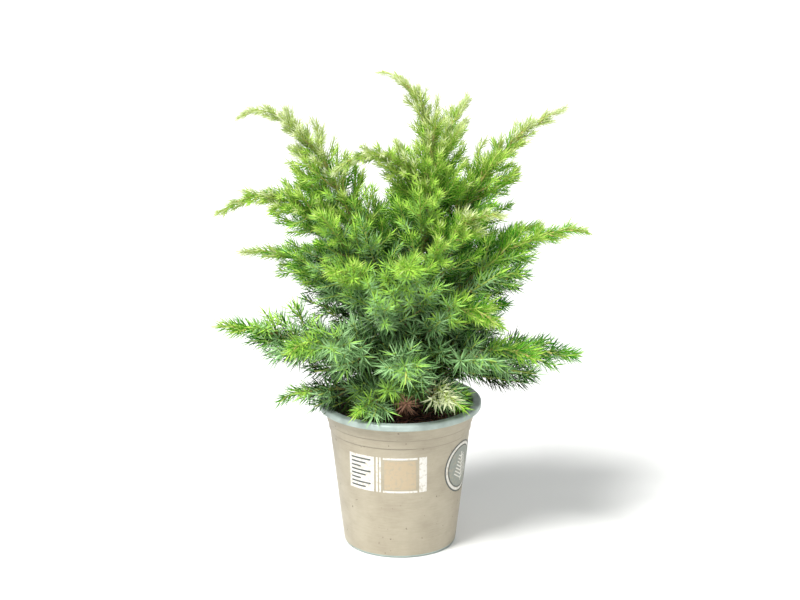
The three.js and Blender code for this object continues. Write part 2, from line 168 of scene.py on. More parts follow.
# The pot: thin polypropylene, injection moulded, a tapered wall with two stacking ledges
# under a rolled rim and eight drain holes in its floor. The plastic is a pale grey green,
# which shows at the rim and inside. The outside of the wall is printed a warm grey.
pot_low, pot_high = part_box("pot")
POT_HEIGHT = pot_high.z
RIM_RADIUS = pot_high.x
RIM_DEPTH = 3.4 * MM
RIM_ROUND = 1.2 * MM
WALL_TOP_RADIUS = 41.3 * MM
BASE_RADIUS = 31 * MM
BASE_ROUND = 1.6 * MM
WALL = 1.1 * MM
POT_FLOOR = 1.6 * MM
LEDGE_DROPS = [12 * MM, 7 * MM]
LEDGE_STEP = 0.45 * MM
DRAIN_HOLES = 8
DRAIN_RADIUS = 3.5 * MM
DRAIN_CIRCLE = 22 * MM
POT_SIDES = 192
UNDER_RIM = POT_HEIGHT - RIM_DEPTH
SOFT_EDGE = 0.3 * MM


def ledge_inset(drop_index):
    """A ledge's height, and the wall's radius just under it."""
    height = UNDER_RIM - LEDGE_DROPS[drop_index]
    taper = (WALL_TOP_RADIUS - BASE_RADIUS) / UNDER_RIM
    return BASE_RADIUS + taper * height - LEDGE_STEP * (len(LEDGE_DROPS) - drop_index), height


def wall_radius(height):
    """The outside of the wall at a height below the lower ledge."""
    radius, top = ledge_inset(0)
    return BASE_RADIUS + (radius - BASE_RADIUS) * height / top


def rounded(corners, arc_steps=5):
    """An outline of [radius, height, rounding] corners, each turned into a small arc."""
    outline = []
    for i, (r, z, rounding) in enumerate(corners):
        here = Vector((r, z))
        if not rounding:
            outline.append(here)
            continue
        back = Vector(corners[i - 1][:2]) - here
        ahead = Vector(corners[i + 1][:2]) - here
        half = back.angle(ahead) / 2
        reach = min(rounding / math.tan(half), back.length * 0.45, ahead.length * 0.45)
        start = here + back.normalized() * reach
        end = here + ahead.normalized() * reach
        for step in range(arc_steps + 1):
            t = step / arc_steps
            outline.append(start * (1 - t) ** 2 + here * 2 * t * (1 - t) + end * t ** 2)
    return outline


def ring_faces(rings, sides):
    """Quads between stacked rings of points, and fans to the two end points listed last."""
    k = np.arange(sides)
    after = (k + 1) % sides
    row = np.arange(rings - 1)[:, None] * sides
    quads = np.stack([row + k, row + after, row + sides + after, row + sides + k], 2)
    top = (rings - 1) * sides
    foot_fan = np.stack([np.full(sides, rings * sides), after, k], 1)
    head_fan = np.stack([np.full(sides, rings * sides + 1), top + k, top + after], 1)
    return [quads.reshape(-1, 4), np.concatenate([foot_fan, head_fan])]


def lathe(outline, sides):
    """Points and faces of an outline turned about the upright axis, closed at both ends."""
    rings = np.array([[p[0], p[1]] for p in outline[1:-1]])
    turn = np.linspace(0, 2 * np.pi, sides, endpoint=False)
    x = rings[:, :1] * np.cos(turn)
    y = rings[:, :1] * np.sin(turn)
    z = np.repeat(rings[:, 1:], sides, 1)
    points = np.stack([x, y, z], 2).reshape(-1, 3)
    ends = np.array([[0, 0, outline[0][1]], [0, 0, outline[-1][1]]])
    return np.concatenate([points, ends]), ring_faces(len(rings), sides)


def drain_cutter(place, sides=32):
    """A short round rod that cuts one drain hole through the floor."""
    turn = np.linspace(0, 2 * np.pi, sides, endpoint=False)
    ring = np.stack([np.cos(turn), np.sin(turn), np.zeros(sides)], 1) * DRAIN_RADIUS + place
    low = ring - [0, 0, 2 * POT_FLOOR]
    high = ring + [0, 0, 2 * POT_FLOOR]
    k = np.arange(sides)
    after = (k + 1) % sides
    walls = np.stack([k, after, after + sides, k + sides], 1)
    caps = np.stack([k[::-1], k + sides])
    return mesh_object("drain_cutter", np.concatenate([low, high]), [walls, caps], [])


ledge_corners = []
for i in range(len(LEDGE_DROPS)):
    ledge_radius, ledge_height = ledge_inset(i)
    ledge_corners.append((ledge_radius, ledge_height, 0))
    ledge_corners.append((ledge_radius + LEDGE_STEP, ledge_height + LEDGE_STEP / 4, SOFT_EDGE))
pot_outline = rounded([
    (0, 0, 0),
    (BASE_RADIUS, 0, BASE_ROUND),
    *ledge_corners,
    (WALL_TOP_RADIUS, UNDER_RIM, SOFT_EDGE),
    (RIM_RADIUS, UNDER_RIM, 2 * SOFT_EDGE),
    (RIM_RADIUS, POT_HEIGHT, RIM_ROUND),
    (WALL_TOP_RADIUS - WALL, POT_HEIGHT, RIM_ROUND),
    (ledge_corners[0][0] - WALL, ledge_corners[0][1], 2 * MM),
    (BASE_RADIUS - WALL, POT_FLOOR, BASE_ROUND),
    (0, POT_FLOOR, 0),
])

# Bare polypropylene: smooth and slightly waxy, with a soft broad highlight. Peat dust
# dulls it in patches a few millimetres wide.
bare_plastic, tree = new_material("moulded_polypropylene")
place = add_node(tree, "TexCoord", {})
dust = add_node(tree, "TexNoise", {"Vector": place.outputs["Object"], "Scale": 1 / (9 * MM),
                                   "Detail": 5.0, "Roughness": 0.62})
tint = add_node(tree, "ValToRGB", {"Fac": dust.outputs["Fac"]},
                stops=[(0.36, "#9aa7a0"), (0.62, "#abbab3")])
gloss = add_node(tree, "MapRange", {"Value": dust.outputs["Fac"], "From Min": 0.3, "From Max": 0.7,
                                    "To Min": 0.58, "To Max": 0.36})
skin = add_node(tree, "TexNoise", {"Vector": place.outputs["Object"], "Scale": 1 / (0.8 * MM),
                                   "Detail": 2.0})
relief = add_node(tree, "Bump", {"Height": skin.outputs["Fac"], "Strength": 0.12,
                                 "Distance": 0.05 * MM})
shader = add_node(tree, "BsdfPrincipled", {
    "Base Color": tint.outputs["Color"], "Roughness": gloss.outputs["Result"],
    "Normal": relief.outputs["Normal"], "IOR": 1.49})
add_node(tree, "OutputMaterial", {"Surface": shader.outputs["BSDF"]})

# The printed ground on the wall: a flat warm grey ink, satin, with faint lines round the
# pot from the print roller, paler rubbed patches, a broken dark line of painted shade under
# each ledge and under the rim, and a few dark specks of peat.
SHADE_LINE_WIDTH = 0.55 * MM
printed_wall, tree = new_material("printed_warm_grey_wall")
place = add_node(tree, "TexCoord", {})
mottle = add_node(tree, "TexNoise", {"Vector": place.outputs["Object"], "Scale": 1 / (14 * MM),
                                     "Detail": 6.0, "Roughness": 0.6})
rounds = add_node(tree, "Mapping", {"Vector": place.outputs["Object"],
                                    "Scale": (0.16 / MM, 0.16 / MM, 1.4 / MM)})
roller = add_node(tree, "TexNoise", {"Vector": rounds.outputs["Vector"], "Scale": 1.0,
                                     "Detail": 3.0})
both = add_node(tree, "Mix", {"Factor": 0.3, "A": mottle.outputs["Fac"],
                              "B": roller.outputs["Fac"]})
tint = add_node(tree, "ValToRGB", {"Fac": both.outputs["Result"]},
                stops=[(0.36, "#a39985"), (0.62, "#b2a994")])
gloss = add_node(tree, "MapRange", {"Value": mottle.outputs["Fac"], "From Min": 0.3,
                                    "From Max": 0.7, "To Min": 0.52, "To Max": 0.38})
specks = add_node(tree, "TexNoise", {"Vector": place.outputs["Object"], "Scale": 1 / (2.1 * MM),
                                     "Detail": 1.0})
dust = add_node(tree, "MapRange", {"Value": specks.outputs["Fac"], "From Min": 0.73,
                                   "From Max": 0.78, "To Min": 0.0, "To Max": 0.7}).outputs["Result"]
# Painted shade: a broken dark line just under each ledge and under the rim, where shade falls, joins the
# peat specks in the dark mix.
height = add_node(tree, "SeparateXYZ", {"Vector": place.outputs["Object"]})
for shade_line_height in (ledge_corners[0][1], ledge_corners[2][1], UNDER_RIM):
    near_shade_line = add_node(tree, "Math", {0: height.outputs["Z"], 1: shade_line_height - SHADE_LINE_WIDTH / 2,
                                        2: SHADE_LINE_WIDTH / 2}, operation="COMPARE")
    broken = add_node(tree, "MapRange", {"Value": mottle.outputs["Fac"], "From Min": 0.35,
                                         "From Max": 0.65, "To Min": 0.1, "To Max": 0.5})
    line = add_node(tree, "Math", {0: near_shade_line.outputs["Value"], 1: broken.outputs["Result"]},
                    operation="MULTIPLY")
    dust = add_node(tree, "Math", {0: dust, 1: line.outputs["Value"]},
                    operation="MAXIMUM").outputs["Value"]
# The warm grey ink darkened to peat brown at the specks, which are real dirt, and at the painted shade
# lines.
specked_and_shaded = add_node(tree, "Mix", {"Factor": dust, 6: tint.outputs["Color"], 7: to_linear("#5d5245")},
                 data_type="RGBA")
relief = add_node(tree, "Bump", {"Height": roller.outputs["Fac"], "Strength": 0.15,
                                 "Distance": 0.06 * MM})
shader = add_node(tree, "BsdfPrincipled", {
    "Base Color": specked_and_shaded.outputs[2], "Roughness": gloss.outputs["Result"],
    "Normal": relief.outputs["Normal"], "IOR": 1.49})
add_node(tree, "OutputMaterial", {"Surface": shader.outputs["BSDF"]})

pot_points, pot_faces = lathe(pot_outline, POT_SIDES)
pot = mesh_object("nursery_pot", pot_points, pot_faces, [bare_plastic, printed_wall], smooth=True)
for i in range(DRAIN_HOLES):
    turn = 2 * math.pi * (i + 0.5) / DRAIN_HOLES
    hole_place = np.array([math.cos(turn), math.sin(turn), 0]) * DRAIN_CIRCLE
    cutter = drain_cutter(hole_place)
    cut = pot.modifiers.new("drain", "BOOLEAN")
    cut.operation = "DIFFERENCE"
    cut.object = cutter
    cut_mesh = bpy.data.meshes.new_from_object(pot.evaluated_get(
        bpy.context.evaluated_depsgraph_get()))
    pot.modifiers.clear()
    pot.data = cut_mesh
    bpy.data.objects.remove(cutter)
for face in pot.data.polygons:
    middle = face.center
    out = math.hypot(middle.x, middle.y)
    faces_out = face.normal.x * middle.x + face.normal.y * middle.y > 0.3 * out
    on_wall_outside = faces_out and BASE_ROUND < middle.z < UNDER_RIM - SOFT_EDGE
    face.material_index = 1 if on_wall_outside else 0
pot.data.set_sharp_from_angle(angle=math.radians(40))
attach(pot, "root")
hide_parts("pot")

# The print on the wall: plain blocks, bars and one round badge in opaque ink, each a
# film with its back sunk in the wall. Places are arc lengths from the front, rightwards.
INK_PROUD = 0.06 * MM
INK_SUNK = 0.25 * MM
INK_GRID = 1.0 * MM


def on_wall(arc, height, lift):
    """A point on the wall from its arc length round the front and its height."""
    radius = wall_radius(height) + lift
    turn = arc / wall_radius(height)
    return radius * math.sin(turn), -radius * math.cos(turn), height


def ink_film(flat_points, quads, proud):
    """A closed film from a flat patch of quads: its front, its back and its edge."""
    front = np.array([on_wall(a, h, proud) for a, h in flat_points])
    back = np.array([on_wall(a, h, -INK_SUNK) for a, h in flat_points])
    count = len(flat_points)
    edges = np.concatenate([quads[:, [0, 1]], quads[:, [1, 2]], quads[:, [2, 3]], quads[:, [3, 0]]])
    inner = {tuple(e) for e in edges}
    rim = np.array([e for e in edges if (e[1], e[0]) not in inner])
    sides = np.stack([rim[:, 1], rim[:, 0], rim[:, 0] + count, rim[:, 1] + count], 1)
    return np.concatenate([front, back]), np.concatenate([quads, quads[:, ::-1] + count, sides])


def ink_patch(columns, rows, place):
    """A flat patch of columns by rows of quads, where place turns two shares into a spot."""
    spots = [place(i / columns, j / rows) for j in range(rows + 1) for i in range(columns + 1)]
    start = np.array([j * (columns + 1) + i for j in range(rows) for i in range(columns)])
    quads = np.stack([start, start + 1, start + columns + 2, start + columns + 1], 1)
    return spots, quads


def ink_block(left, low, width, height):
    columns = max(1, round(width / INK_GRID))
    rows = max(1, round(height / INK_GRID))
    return ink_patch(columns, rows, lambda u, v: (left + width * u, low + height * v))


def ink_ring(middle, inner, outer, sides=72):
    """A ring, or a disc where inner is next to nothing."""
    def place(u, v):
        turn = 2 * math.pi * u
        radius = outer + (inner - outer) * v
        return middle[0] + radius * math.cos(turn), middle[1] + radius * math.sin(turn)
    rows = max(1, round((outer - inner) / INK_GRID))
    spots, quads = ink_patch(sides, rows, place)
    row_ends = {sides + j * (sides + 1): j * (sides + 1) for j in range(rows + 1)}
    return spots, np.vectorize(lambda i: row_ends.get(i, i))(quads)


def ink_stroke(start, end, width):
    """A straight bar between two spots, such as one needle of the badge's sprig."""
    along = Vector(end) - Vector(start)
    across = Vector((-along.y, along.x)).normalized() * width / 2
    columns = max(1, round(along.length / INK_GRID))
    return ink_patch(columns, 1, lambda u, v: tuple(Vector(start) + along * u + across * (2 * v - 1)))


PANEL_TOP = 61 * MM
PANEL_HEIGHT = 21 * MM
BADGE_MIDDLE = (42 * MM, 48.5 * MM)
BADGE_RADIUS = 15.4 * MM
SPRIG_HALF = 9 * MM
SPRIG_PAIRS = 7
SPRIG_STEP = 2.2 * MM
SPRIG_FIRST = -7.5 * MM
SPRIG_REACH = 7.2 * MM
SPRIG_REACH_LOSS = 0.75 * MM
SPRIG_SLOPE = 0.62
BARS = 8
BAR_FIRST = 2.6
BAR_PITCH = 2.4
BAR_LONGEST = 12.5
BAR_LOSS = 3.1
white_print = [
    ink_block(-30.5 * MM, PANEL_TOP - PANEL_HEIGHT, 16 * MM, PANEL_HEIGHT),
    ink_block(-13.3 * MM, PANEL_TOP - PANEL_HEIGHT, 1.0 * MM, PANEL_HEIGHT),
    ink_block(-11.5 * MM, PANEL_TOP - PANEL_HEIGHT, 1.0 * MM, PANEL_HEIGHT),
    ink_block(-9.4 * MM, PANEL_TOP - 1.1 * MM, 19 * MM, 1.1 * MM),
    ink_block(-9.4 * MM, PANEL_TOP - PANEL_HEIGHT, 19 * MM, 1.1 * MM),
    ink_block(10.6 * MM, PANEL_TOP - PANEL_HEIGHT, 4.4 * MM, PANEL_HEIGHT),
    ink_ring(BADGE_MIDDLE, BADGE_RADIUS - 2.4 * MM, BADGE_RADIUS - 1.0 * MM),
]
dark_print = [
    ink_ring(BADGE_MIDDLE, BADGE_RADIUS - 0.8 * MM, BADGE_RADIUS),
    ink_ring(BADGE_MIDDLE, BADGE_RADIUS - 3.3 * MM, BADGE_RADIUS - 2.7 * MM),
]
dark_print += [
    ink_block(-29 * MM, PANEL_TOP - (BAR_FIRST + BAR_PITCH * i) * MM,
              (BAR_LONGEST - BAR_LOSS * (i % 3)) * MM, 0.9 * MM)
    for i in range(BARS)
]
grey_print = [ink_ring(BADGE_MIDDLE, 0.2 * MM, BADGE_RADIUS - 3.3 * MM)]
badge_x, badge_z = BADGE_MIDDLE
sprig_print = [ink_stroke((badge_x, badge_z - SPRIG_HALF), (badge_x, badge_z + SPRIG_HALF), 0.9 * MM)]
for i in range(SPRIG_PAIRS):
    foot = badge_z + SPRIG_FIRST + SPRIG_STEP * i
    reach = SPRIG_REACH - SPRIG_REACH_LOSS * i
    for side in (-1, 1):
        end = (badge_x + side * reach, foot + SPRIG_SLOPE * reach)
        sprig_print.append(ink_stroke((badge_x, foot), end, 0.75 * MM))
tan_print = [ink_block(-8.6 * MM, PANEL_TOP - PANEL_HEIGHT + 1.9 * MM, 17.4 * MM,
                       PANEL_HEIGHT - 3.8 * MM)]

# Screen printing ink: opaque and satin, a little rubbed, so its colour is broken by fine
# specks of the wall's grey.
for piece_name, motifs, ink_colour, worn_colour, proud in [
    ("print_white", white_print, "#e4e1d9", "#c9c2b3", INK_PROUD),
    ("print_dark", dark_print, "#4d5350", "#6c6d65", 2 * INK_PROUD),
    ("print_tan", tan_print, "#bba98c", "#b0a48d", INK_PROUD),
    ("print_grey", grey_print, "#8f948b", "#a39d8c", INK_PROUD),
    ("print_sprig", sprig_print, "#dddbd2", "#c4bfb1", 2 * INK_PROUD),
]:
    ink, tree = new_material("screen_ink_" + piece_name)
    place = add_node(tree, "TexCoord", {})
    rubbed = add_node(tree, "TexNoise", {"Vector": place.outputs["Object"],
                                         "Scale": 1 / (1.6 * MM), "Detail": 4.0})
    tint = add_node(tree, "ValToRGB", {"Fac": rubbed.outputs["Fac"]},
                    stops=[(0.34, worn_colour), (0.5, ink_colour)])
    shader = add_node(tree, "BsdfPrincipled", {"Base Color": tint.outputs["Color"],
                                               "Roughness": 0.5, "IOR": 1.5})
    add_node(tree, "OutputMaterial", {"Surface": shader.outputs["BSDF"]})
    film_points = []
    film_faces = []
    used = 0
    for flat_points, quads in motifs:
        points, faces = ink_film(flat_points, quads, proud)
        film_points.append(points)
        film_faces.append(faces + used)
        used += len(points)
    film = mesh_object(piece_name, np.concatenate(film_points), [np.concatenate(film_faces)], [ink])
    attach(film, "root")

# The peat: dark fibrous potting peat that fills the pot, heaped a little unevenly, with
# crumbs and strands loose on top of it and the plant's own dry needles fallen on it.
PEAT_TOP = POT_HEIGHT - 8.5 * MM
PEAT_BUMP = 0.8 * MM
PEAT_SHOULDER = 1.2 * MM
PEAT_LEVEL_SPOT = 8 * MM
PEAT_LEVEL_EASE = 3 * MM
PEAT_SINK = 0.4
SWELL_WAVES = (0.31, 0.27)
SWELL_PHASES = (1.2, -0.4)
RIPPLE_WAVES = (0.83, -0.71)
RIPPLE_SHARE = 0.4
PEAT_GAP = 0.3 * MM
PEAT_RINGS = 46
PEAT_SIDES = 180
GRAIN_SIZE = 2.6 * MM
GRAIN_HEIGHT = 0.55 * MM
CRUMBS = 2100
CRUMB_LEAST = 0.35 * MM
CRUMB_MOST = 1.5 * MM
CRUMB_KNOBBLE = 0.45
CRUMB_STRETCH = (0.55, 0.75)
CRUMB_FLATNESS = 0.8
CRUMB_LIFT = 0.12
LUMP_EDGE_MOST = 1.1
STRANDS = 150
STRAND_LENGTH = (3 * MM, 6 * MM)
STRAND_THICKNESS = (0.10 * MM, 0.12 * MM)
STRAND_BEND = 1.6
STRAND_POINTS = 6
STRAND_LIFT = 0.35 * MM
STRAND_ARCH = 0.5 * MM
STRAND_OFF_WALL = 2 * MM
LIMB_START_SIDE = [0.31, 0.95, 0.07]
LIMB_FOOT_BULGE = 0.4
dice = np.random.default_rng(7)


def peat_height(x, y):
    """The top of the peat: broad swells, level round the stem, with a fine crumbly grain."""
    swell = math.sin(SWELL_WAVES[0] * x / MM + SWELL_PHASES[0])
    swell *= math.cos(SWELL_WAVES[1] * y / MM + SWELL_PHASES[1])
    ripple = RIPPLE_SHARE * math.sin(RIPPLE_WAVES[0] * x / MM + RIPPLE_WAVES[1] * y / MM)
    bump = PEAT_BUMP * (swell + ripple - PEAT_SINK)
    blend = min(1, max(0, (math.hypot(x, y) - PEAT_LEVEL_SPOT) / PEAT_LEVEL_EASE))
    grain = noise.fractal(Vector((x, y, 0)) / GRAIN_SIZE, 1.0, 2.0, 4)
    return PEAT_TOP + bump * blend + GRAIN_HEIGHT * grain


ledge_radius, ledge_height = ledge_corners[0][:2]
peat_widest = ledge_radius - WALL - PEAT_GAP
peat_foot = (BASE_RADIUS - WALL - PEAT_GAP, POT_FLOOR + PEAT_GAP)
peat_outline = [(0, peat_foot[1]), peat_foot, (peat_widest, ledge_height),
                (peat_widest, PEAT_TOP - PEAT_SHOULDER)]
for i in range(PEAT_RINGS, -1, -1):
    peat_outline.append(((peat_widest - PEAT_SHOULDER * 0.6) * i / PEAT_RINGS, PEAT_TOP))
peat_points, peat_faces = lathe(peat_outline, PEAT_SIDES)
for point in peat_points:
    if point[2] > PEAT_TOP - MM / 10:
        point[2] = peat_height(point[0], point[1])


def crumb_cloud():
    """Many irregular crumbs on the peat, each a twenty sided lump stretched at random."""
    golden = (1 + 5 ** 0.5) / 2
    lump = np.array([(a, b * golden, 0) for a in (-1, 1) for b in (-1, 1)])
    lump = np.concatenate([lump, lump[:, [2, 0, 1]], lump[:, [1, 2, 0]]]) / math.hypot(1, golden)
    hull = [(a, b, c) for a in range(12) for b in range(a + 1, 12) for c in range(b + 1, 12)
            if max(np.linalg.norm(lump[a] - lump[b]), np.linalg.norm(lump[b] - lump[c]),
                   np.linalg.norm(lump[a] - lump[c])) < LUMP_EDGE_MOST]
    hull = np.array([f if np.linalg.det(lump[list(f)]) > 0 else (f[0], f[2], f[1]) for f in hull])
    radius = (peat_widest - PEAT_SHOULDER) * np.sqrt(dice.random(CRUMBS))
    turn = 2 * np.pi * dice.random(CRUMBS)
    size = CRUMB_LEAST * (CRUMB_MOST / CRUMB_LEAST) ** dice.random(CRUMBS)
    shape = lump[None] * (1 + CRUMB_KNOBBLE * (dice.random((CRUMBS, 12, 1)) - 0.5))
    stretch = CRUMB_STRETCH[0] + CRUMB_STRETCH[1] * dice.random((CRUMBS, 1, 3))
    shape = shape * stretch * size[:, None, None] * 0.5
    axes = np.linalg.qr(dice.normal(size=(CRUMBS, 3, 3)))[0]
    axes[np.linalg.det(axes) < 0] *= -1
    shape = np.einsum("nij,nkj->nki", axes, shape) * [1, 1, CRUMB_FLATNESS]
    x = radius * np.cos(turn)
    y = radius * np.sin(turn)
    z = np.array([peat_height(a, b) for a, b in zip(x, y)]) + CRUMB_LIFT * size
    points = shape + np.stack([x, y, z], 1)[:, None]
    faces = hull[None] + 12 * np.arange(CRUMBS)[:, None, None]
    return points.reshape(-1, 3), faces.reshape(-1, 3)


def tube(line, radii, sides, relief=None):
    """Points and faces of a limb round a line of points, closed by a point at each end."""
    line = np.asarray(line, float)
    last = len(line) - 1
    ahead = np.arange(last + 1)
    along = line[np.minimum(ahead + 1, last)] - line[np.maximum(ahead - 1, 0)]
    along /= np.linalg.norm(along, axis=1)[:, None]
    side = np.array(LIMB_START_SIDE)
    turn = np.linspace(0, 2 * np.pi, sides, endpoint=False)
    rings = []
    for i in range(last + 1):
        side = side - along[i] * side.dot(along[i])
        side /= np.linalg.norm(side)
        other = np.cross(along[i], side)
        spokes = np.cos(turn)[:, None] * side + np.sin(turn)[:, None] * other
        radius = np.full(sides, radii[i])
        if relief:
            radius = radius + relief(line[i], spokes, radii[i])
        rings.append(line[i] + spokes * radius[:, None])
    ends = [line[0] - along[0] * radii[0] * LIMB_FOOT_BULGE, line[last] + along[last] * radii[last]]
    return np.concatenate([*rings, np.array(ends)]), ring_faces(last + 1, sides)


def joined(parts):
    """Several (points, [quads, triangles]) joined into one."""
    points = []
    quads = []
    triangles = []
    used = 0
    for part_points, (part_quads, part_triangles) in parts:
        points.append(part_points)
        quads.append(part_quads + used)
        triangles.append(part_triangles + used)
        used += len(part_points)
    return np.concatenate(points), [np.concatenate(quads), np.concatenate(triangles)]


# Damp peat: nearly black brown and quite matt, broken by lighter brown fibre.
damp_peat, tree = new_material("damp_potting_peat")
place = add_node(tree, "TexCoord", {})
fibre = add_node(tree, "TexNoise", {"Vector": place.outputs["Object"], "Scale": 1 / (1.9 * MM),
                                    "Detail": 8.0, "Roughness": 0.7})
tint = add_node(tree, "ValToRGB", {"Fac": fibre.outputs["Fac"]},
                stops=[(0.34, "#1d1511"), (0.72, "#5a4333")])
relief = add_node(tree, "Bump", {"Height": fibre.outputs["Fac"], "Strength": 0.8,
                                 "Distance": 0.5 * MM})
shader = add_node(tree, "BsdfPrincipled", {"Base Color": tint.outputs["Color"], "Roughness": 0.92,
                                           "Normal": relief.outputs["Normal"]})
add_node(tree, "OutputMaterial", {"Surface": shader.outputs["BSDF"]})
peat = mesh_object("potting_peat", peat_points, peat_faces, [damp_peat], smooth=True)
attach(peat, "root")
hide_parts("peat")

crumb_points, crumb_faces = crumb_cloud()
crumbs = mesh_object("peat_crumbs", crumb_points, [crumb_faces], [damp_peat])
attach(crumbs, "root")

# Loose plant fibre in the peat: straw brown, dry and matt.
straw, tree = new_material("peat_fibre")
shader = add_node(tree, "BsdfPrincipled", {"Base Color": to_linear("#8a6a48"), "Roughness": 0.85})
add_node(tree, "OutputMaterial", {"Surface": shader.outputs["BSDF"]})
strands = []
for i in range(STRANDS):
    out = (peat_widest - 2 * STRAND_OFF_WALL) * math.sqrt(dice.random())
    turn = 2 * math.pi * dice.random()
    heading = 2 * math.pi * dice.random()
    bend = STRAND_BEND * (dice.random() - 0.5)
    length = STRAND_LENGTH[0] + STRAND_LENGTH[1] * dice.random()
    thick = STRAND_THICKNESS[0] + STRAND_THICKNESS[1] * dice.random()
    line = []
    spot = np.array([out * math.cos(turn), out * math.sin(turn)])
    steps = STRAND_POINTS - 1
    for step in range(STRAND_POINTS):
        rise = STRAND_LIFT + STRAND_ARCH * math.sin(math.pi * step / steps)
        line.append((*spot, peat_height(*spot) + rise))
        heading += bend / steps
        spot = spot + np.array([math.cos(heading), math.sin(heading)]) * length / steps
        spot *= min(1, (peat_widest - STRAND_OFF_WALL) / np.linalg.norm(spot))
    strands.append(tube(line, [thick] * STRAND_POINTS, 4))
strand_points, strand_faces = joined(strands)
strand_piece = mesh_object("peat_strands", strand_points, strand_faces, [straw], smooth=True)
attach(strand_piece, "root")

# The stem and its boughs: one leaning stem, flared where it leaves the peat, and limbs
# that arch out of it all round. Juniper bark is thin and red brown, and splits into long
# flat strips along the limb.
STEM_HEIGHT = 58
STEM_RADIUS = 2.9
STEM_TIP_RADIUS = 1.4
FLARE_RADIUS = 4.4
FLARE_HEIGHT = 7
STEM_LEAN = np.array([0.10, 0.02, 1.0])
STEM_FOOT = PEAT_TOP / MM + 0.3
STEM_SUNK = 1.5
BOUGH_RADIUS = 1.5
BOUGH_RADIUS_LENGTH = 150
BOUGH_TIP_RADIUS = 0.9
BOUGH_TAPER = 0.8
BARE_SHARE = 0.2
PATH_STEPS = 24
STRIP_WIDTH = 1.3
STRIP_LENGTH = 14
STRIP_RELIEF = 0.13
STRIP_NOISE = 1.6
STRIP_HEIGHT = 2.2
STRIP_MIDDLE = 0.55
FLAKE_NOISE = 4.1
FLAKE_PLACE = (7, 3, 1)
FLAKE_HEIGHT = 0.4
THICK_LIMB = 1.5
STEM_SIDES = 30
STEM_RINGS = 110
BOUGH_SIDES = 14
BOUGH_RINGS = 34

# Each bough: height of its foot on the stem, azimuth, elevation where it leaves the
# stem, elevation at its tip, how late it nods over, and length, in millimetres.
BOUGHS = {
    "low_left": (8, 192, 42, 6, 1.2, 114),
    "low_rim_left": (4, 203, 30, -14, 1.4, 72),
    "low_front_left": (5, 243, 36, -12, 1.2, 48),
    "low_front_right": (8, 304, 42, -20, 1.2, 56),
    "low_front": (12, 272, 52, -14, 1.5, 74),
    "low_left_front": (15, 224, 48, -6, 1.5, 94),
    "low_right_front": (11, 330, 46, -10, 1.5, 90),
    "low_right": (7, 350, 40, -10, 1.3, 104),
    "low_back_right": (9, 46, 44, -4, 1.3, 94),
    "low_back": (5, 88, 38, -12, 1.3, 80),
    "low_back_left": (8, 124, 42, -2, 1.3, 68),
    "mid_left": (18, 172, 61, -8, 2.2, 119),
    "mid_front_left": (22, 232, 70, 5, 2, 104),
    "mid_front": (28, 272, 74, 0, 2, 100),
    "mid_front_right": (17, 318, 68, -35, 2, 96),
    "mid_right": (26, 358, 60, -5, 2, 134),
    "mid_back_right": (19, 30, 62, 0, 2, 122),
    "mid_back": (30, 92, 66, 4, 2, 120),
    "mid_back_left": (25, 136, 60, -14, 2, 102),
    "upper_left": (31, 190, 66, -42, 3.2, 152),
    "high_left": (42, 180, 66, -30, 7, 165),
    "high_arch": (38, 206, 106, -42, 2.6, 149),
    "high_front_right": (35, 322, 72, 5, 3, 112),
    "high_right": (44, 8, 68, 22, 3, 152),
    "high_back_left": (37, 120, 62, -8, 3, 104),
    "high_back_right": (47, 62, 72, 18, 3, 142),
}
LEADER = (STEM_HEIGHT + 0.6, 171, 100, 12, 4, 145)


def stem_point(height):
    return STEM_LEAN * height + np.array([0, 0, STEM_FOOT])


def arched_line(foot, azimuth, launch, tip, late, length):
    """The line of a limb: it leaves the stem steeply and nods over towards its tip."""
    share = (np.arange(PATH_STEPS) + 0.5) / PATH_STEPS
    rise = np.radians(launch + (tip - launch) * share ** late)
    turn = math.radians(azimuth)
    flat = np.cos(rise)
    steps = np.stack([flat * math.cos(turn), flat * math.sin(turn), np.sin(rise)], 1)
    return stem_point(foot) + np.concatenate([np.zeros((1, 3)), np.cumsum(steps, 0)]) * length / PATH_STEPS


def along_line(line, shares):
    """Points and headings at shares of the way along a line."""
    place = np.clip(shares, 0, 1) * (len(line) - 1)
    i = np.minimum(place.astype(int), len(line) - 2)
    step = line[i + 1] - line[i]
    points = line[i] + step * (place - i)[:, None]
    return points, step / np.linalg.norm(step, axis=1)[:, None]


def bark_relief(strip_width):
    """How far bark stands out round a limb: strips that run along it, in millimetres."""
    def relief(centre, spokes, radius):
        high = []
        for spoke in spokes:
            round_limb = (centre[:2] + spoke[:2] * radius) / strip_width
            spot = Vector((*round_limb, centre[2] / STRIP_LENGTH))
            strips = abs(noise.noise(spot * STRIP_NOISE))
            flakes = noise.noise(spot * FLAKE_NOISE + Vector(FLAKE_PLACE))
            high.append(strips * STRIP_HEIGHT - STRIP_MIDDLE + FLAKE_HEIGHT * flakes)
        return np.array(high) * STRIP_RELIEF * min(THICK_LIMB, radius)
    return relief


def stem_radius(height):
    taper = STEM_RADIUS + (STEM_TIP_RADIUS - STEM_RADIUS) * height / STEM_HEIGHT
    flare = max(0, 1 - height / FLARE_HEIGHT) ** 2
    return taper + (FLARE_RADIUS - STEM_RADIUS) * flare


def foot_radius(length):
    return BOUGH_RADIUS * math.sqrt(length / BOUGH_RADIUS_LENGTH)


def tip_radius(length):
    return min(BOUGH_TIP_RADIUS, foot_radius(length) * BOUGH_TAPER)


lines = {"main_stem": np.array([stem_point(STEM_HEIGHT * share) for share in (0, 0.25, 0.5, 0.75, 1)])}
for name, bough in BOUGHS.items():
    lines[name] = arched_line(*bough)
lines["leader"] = arched_line(*LEADER)

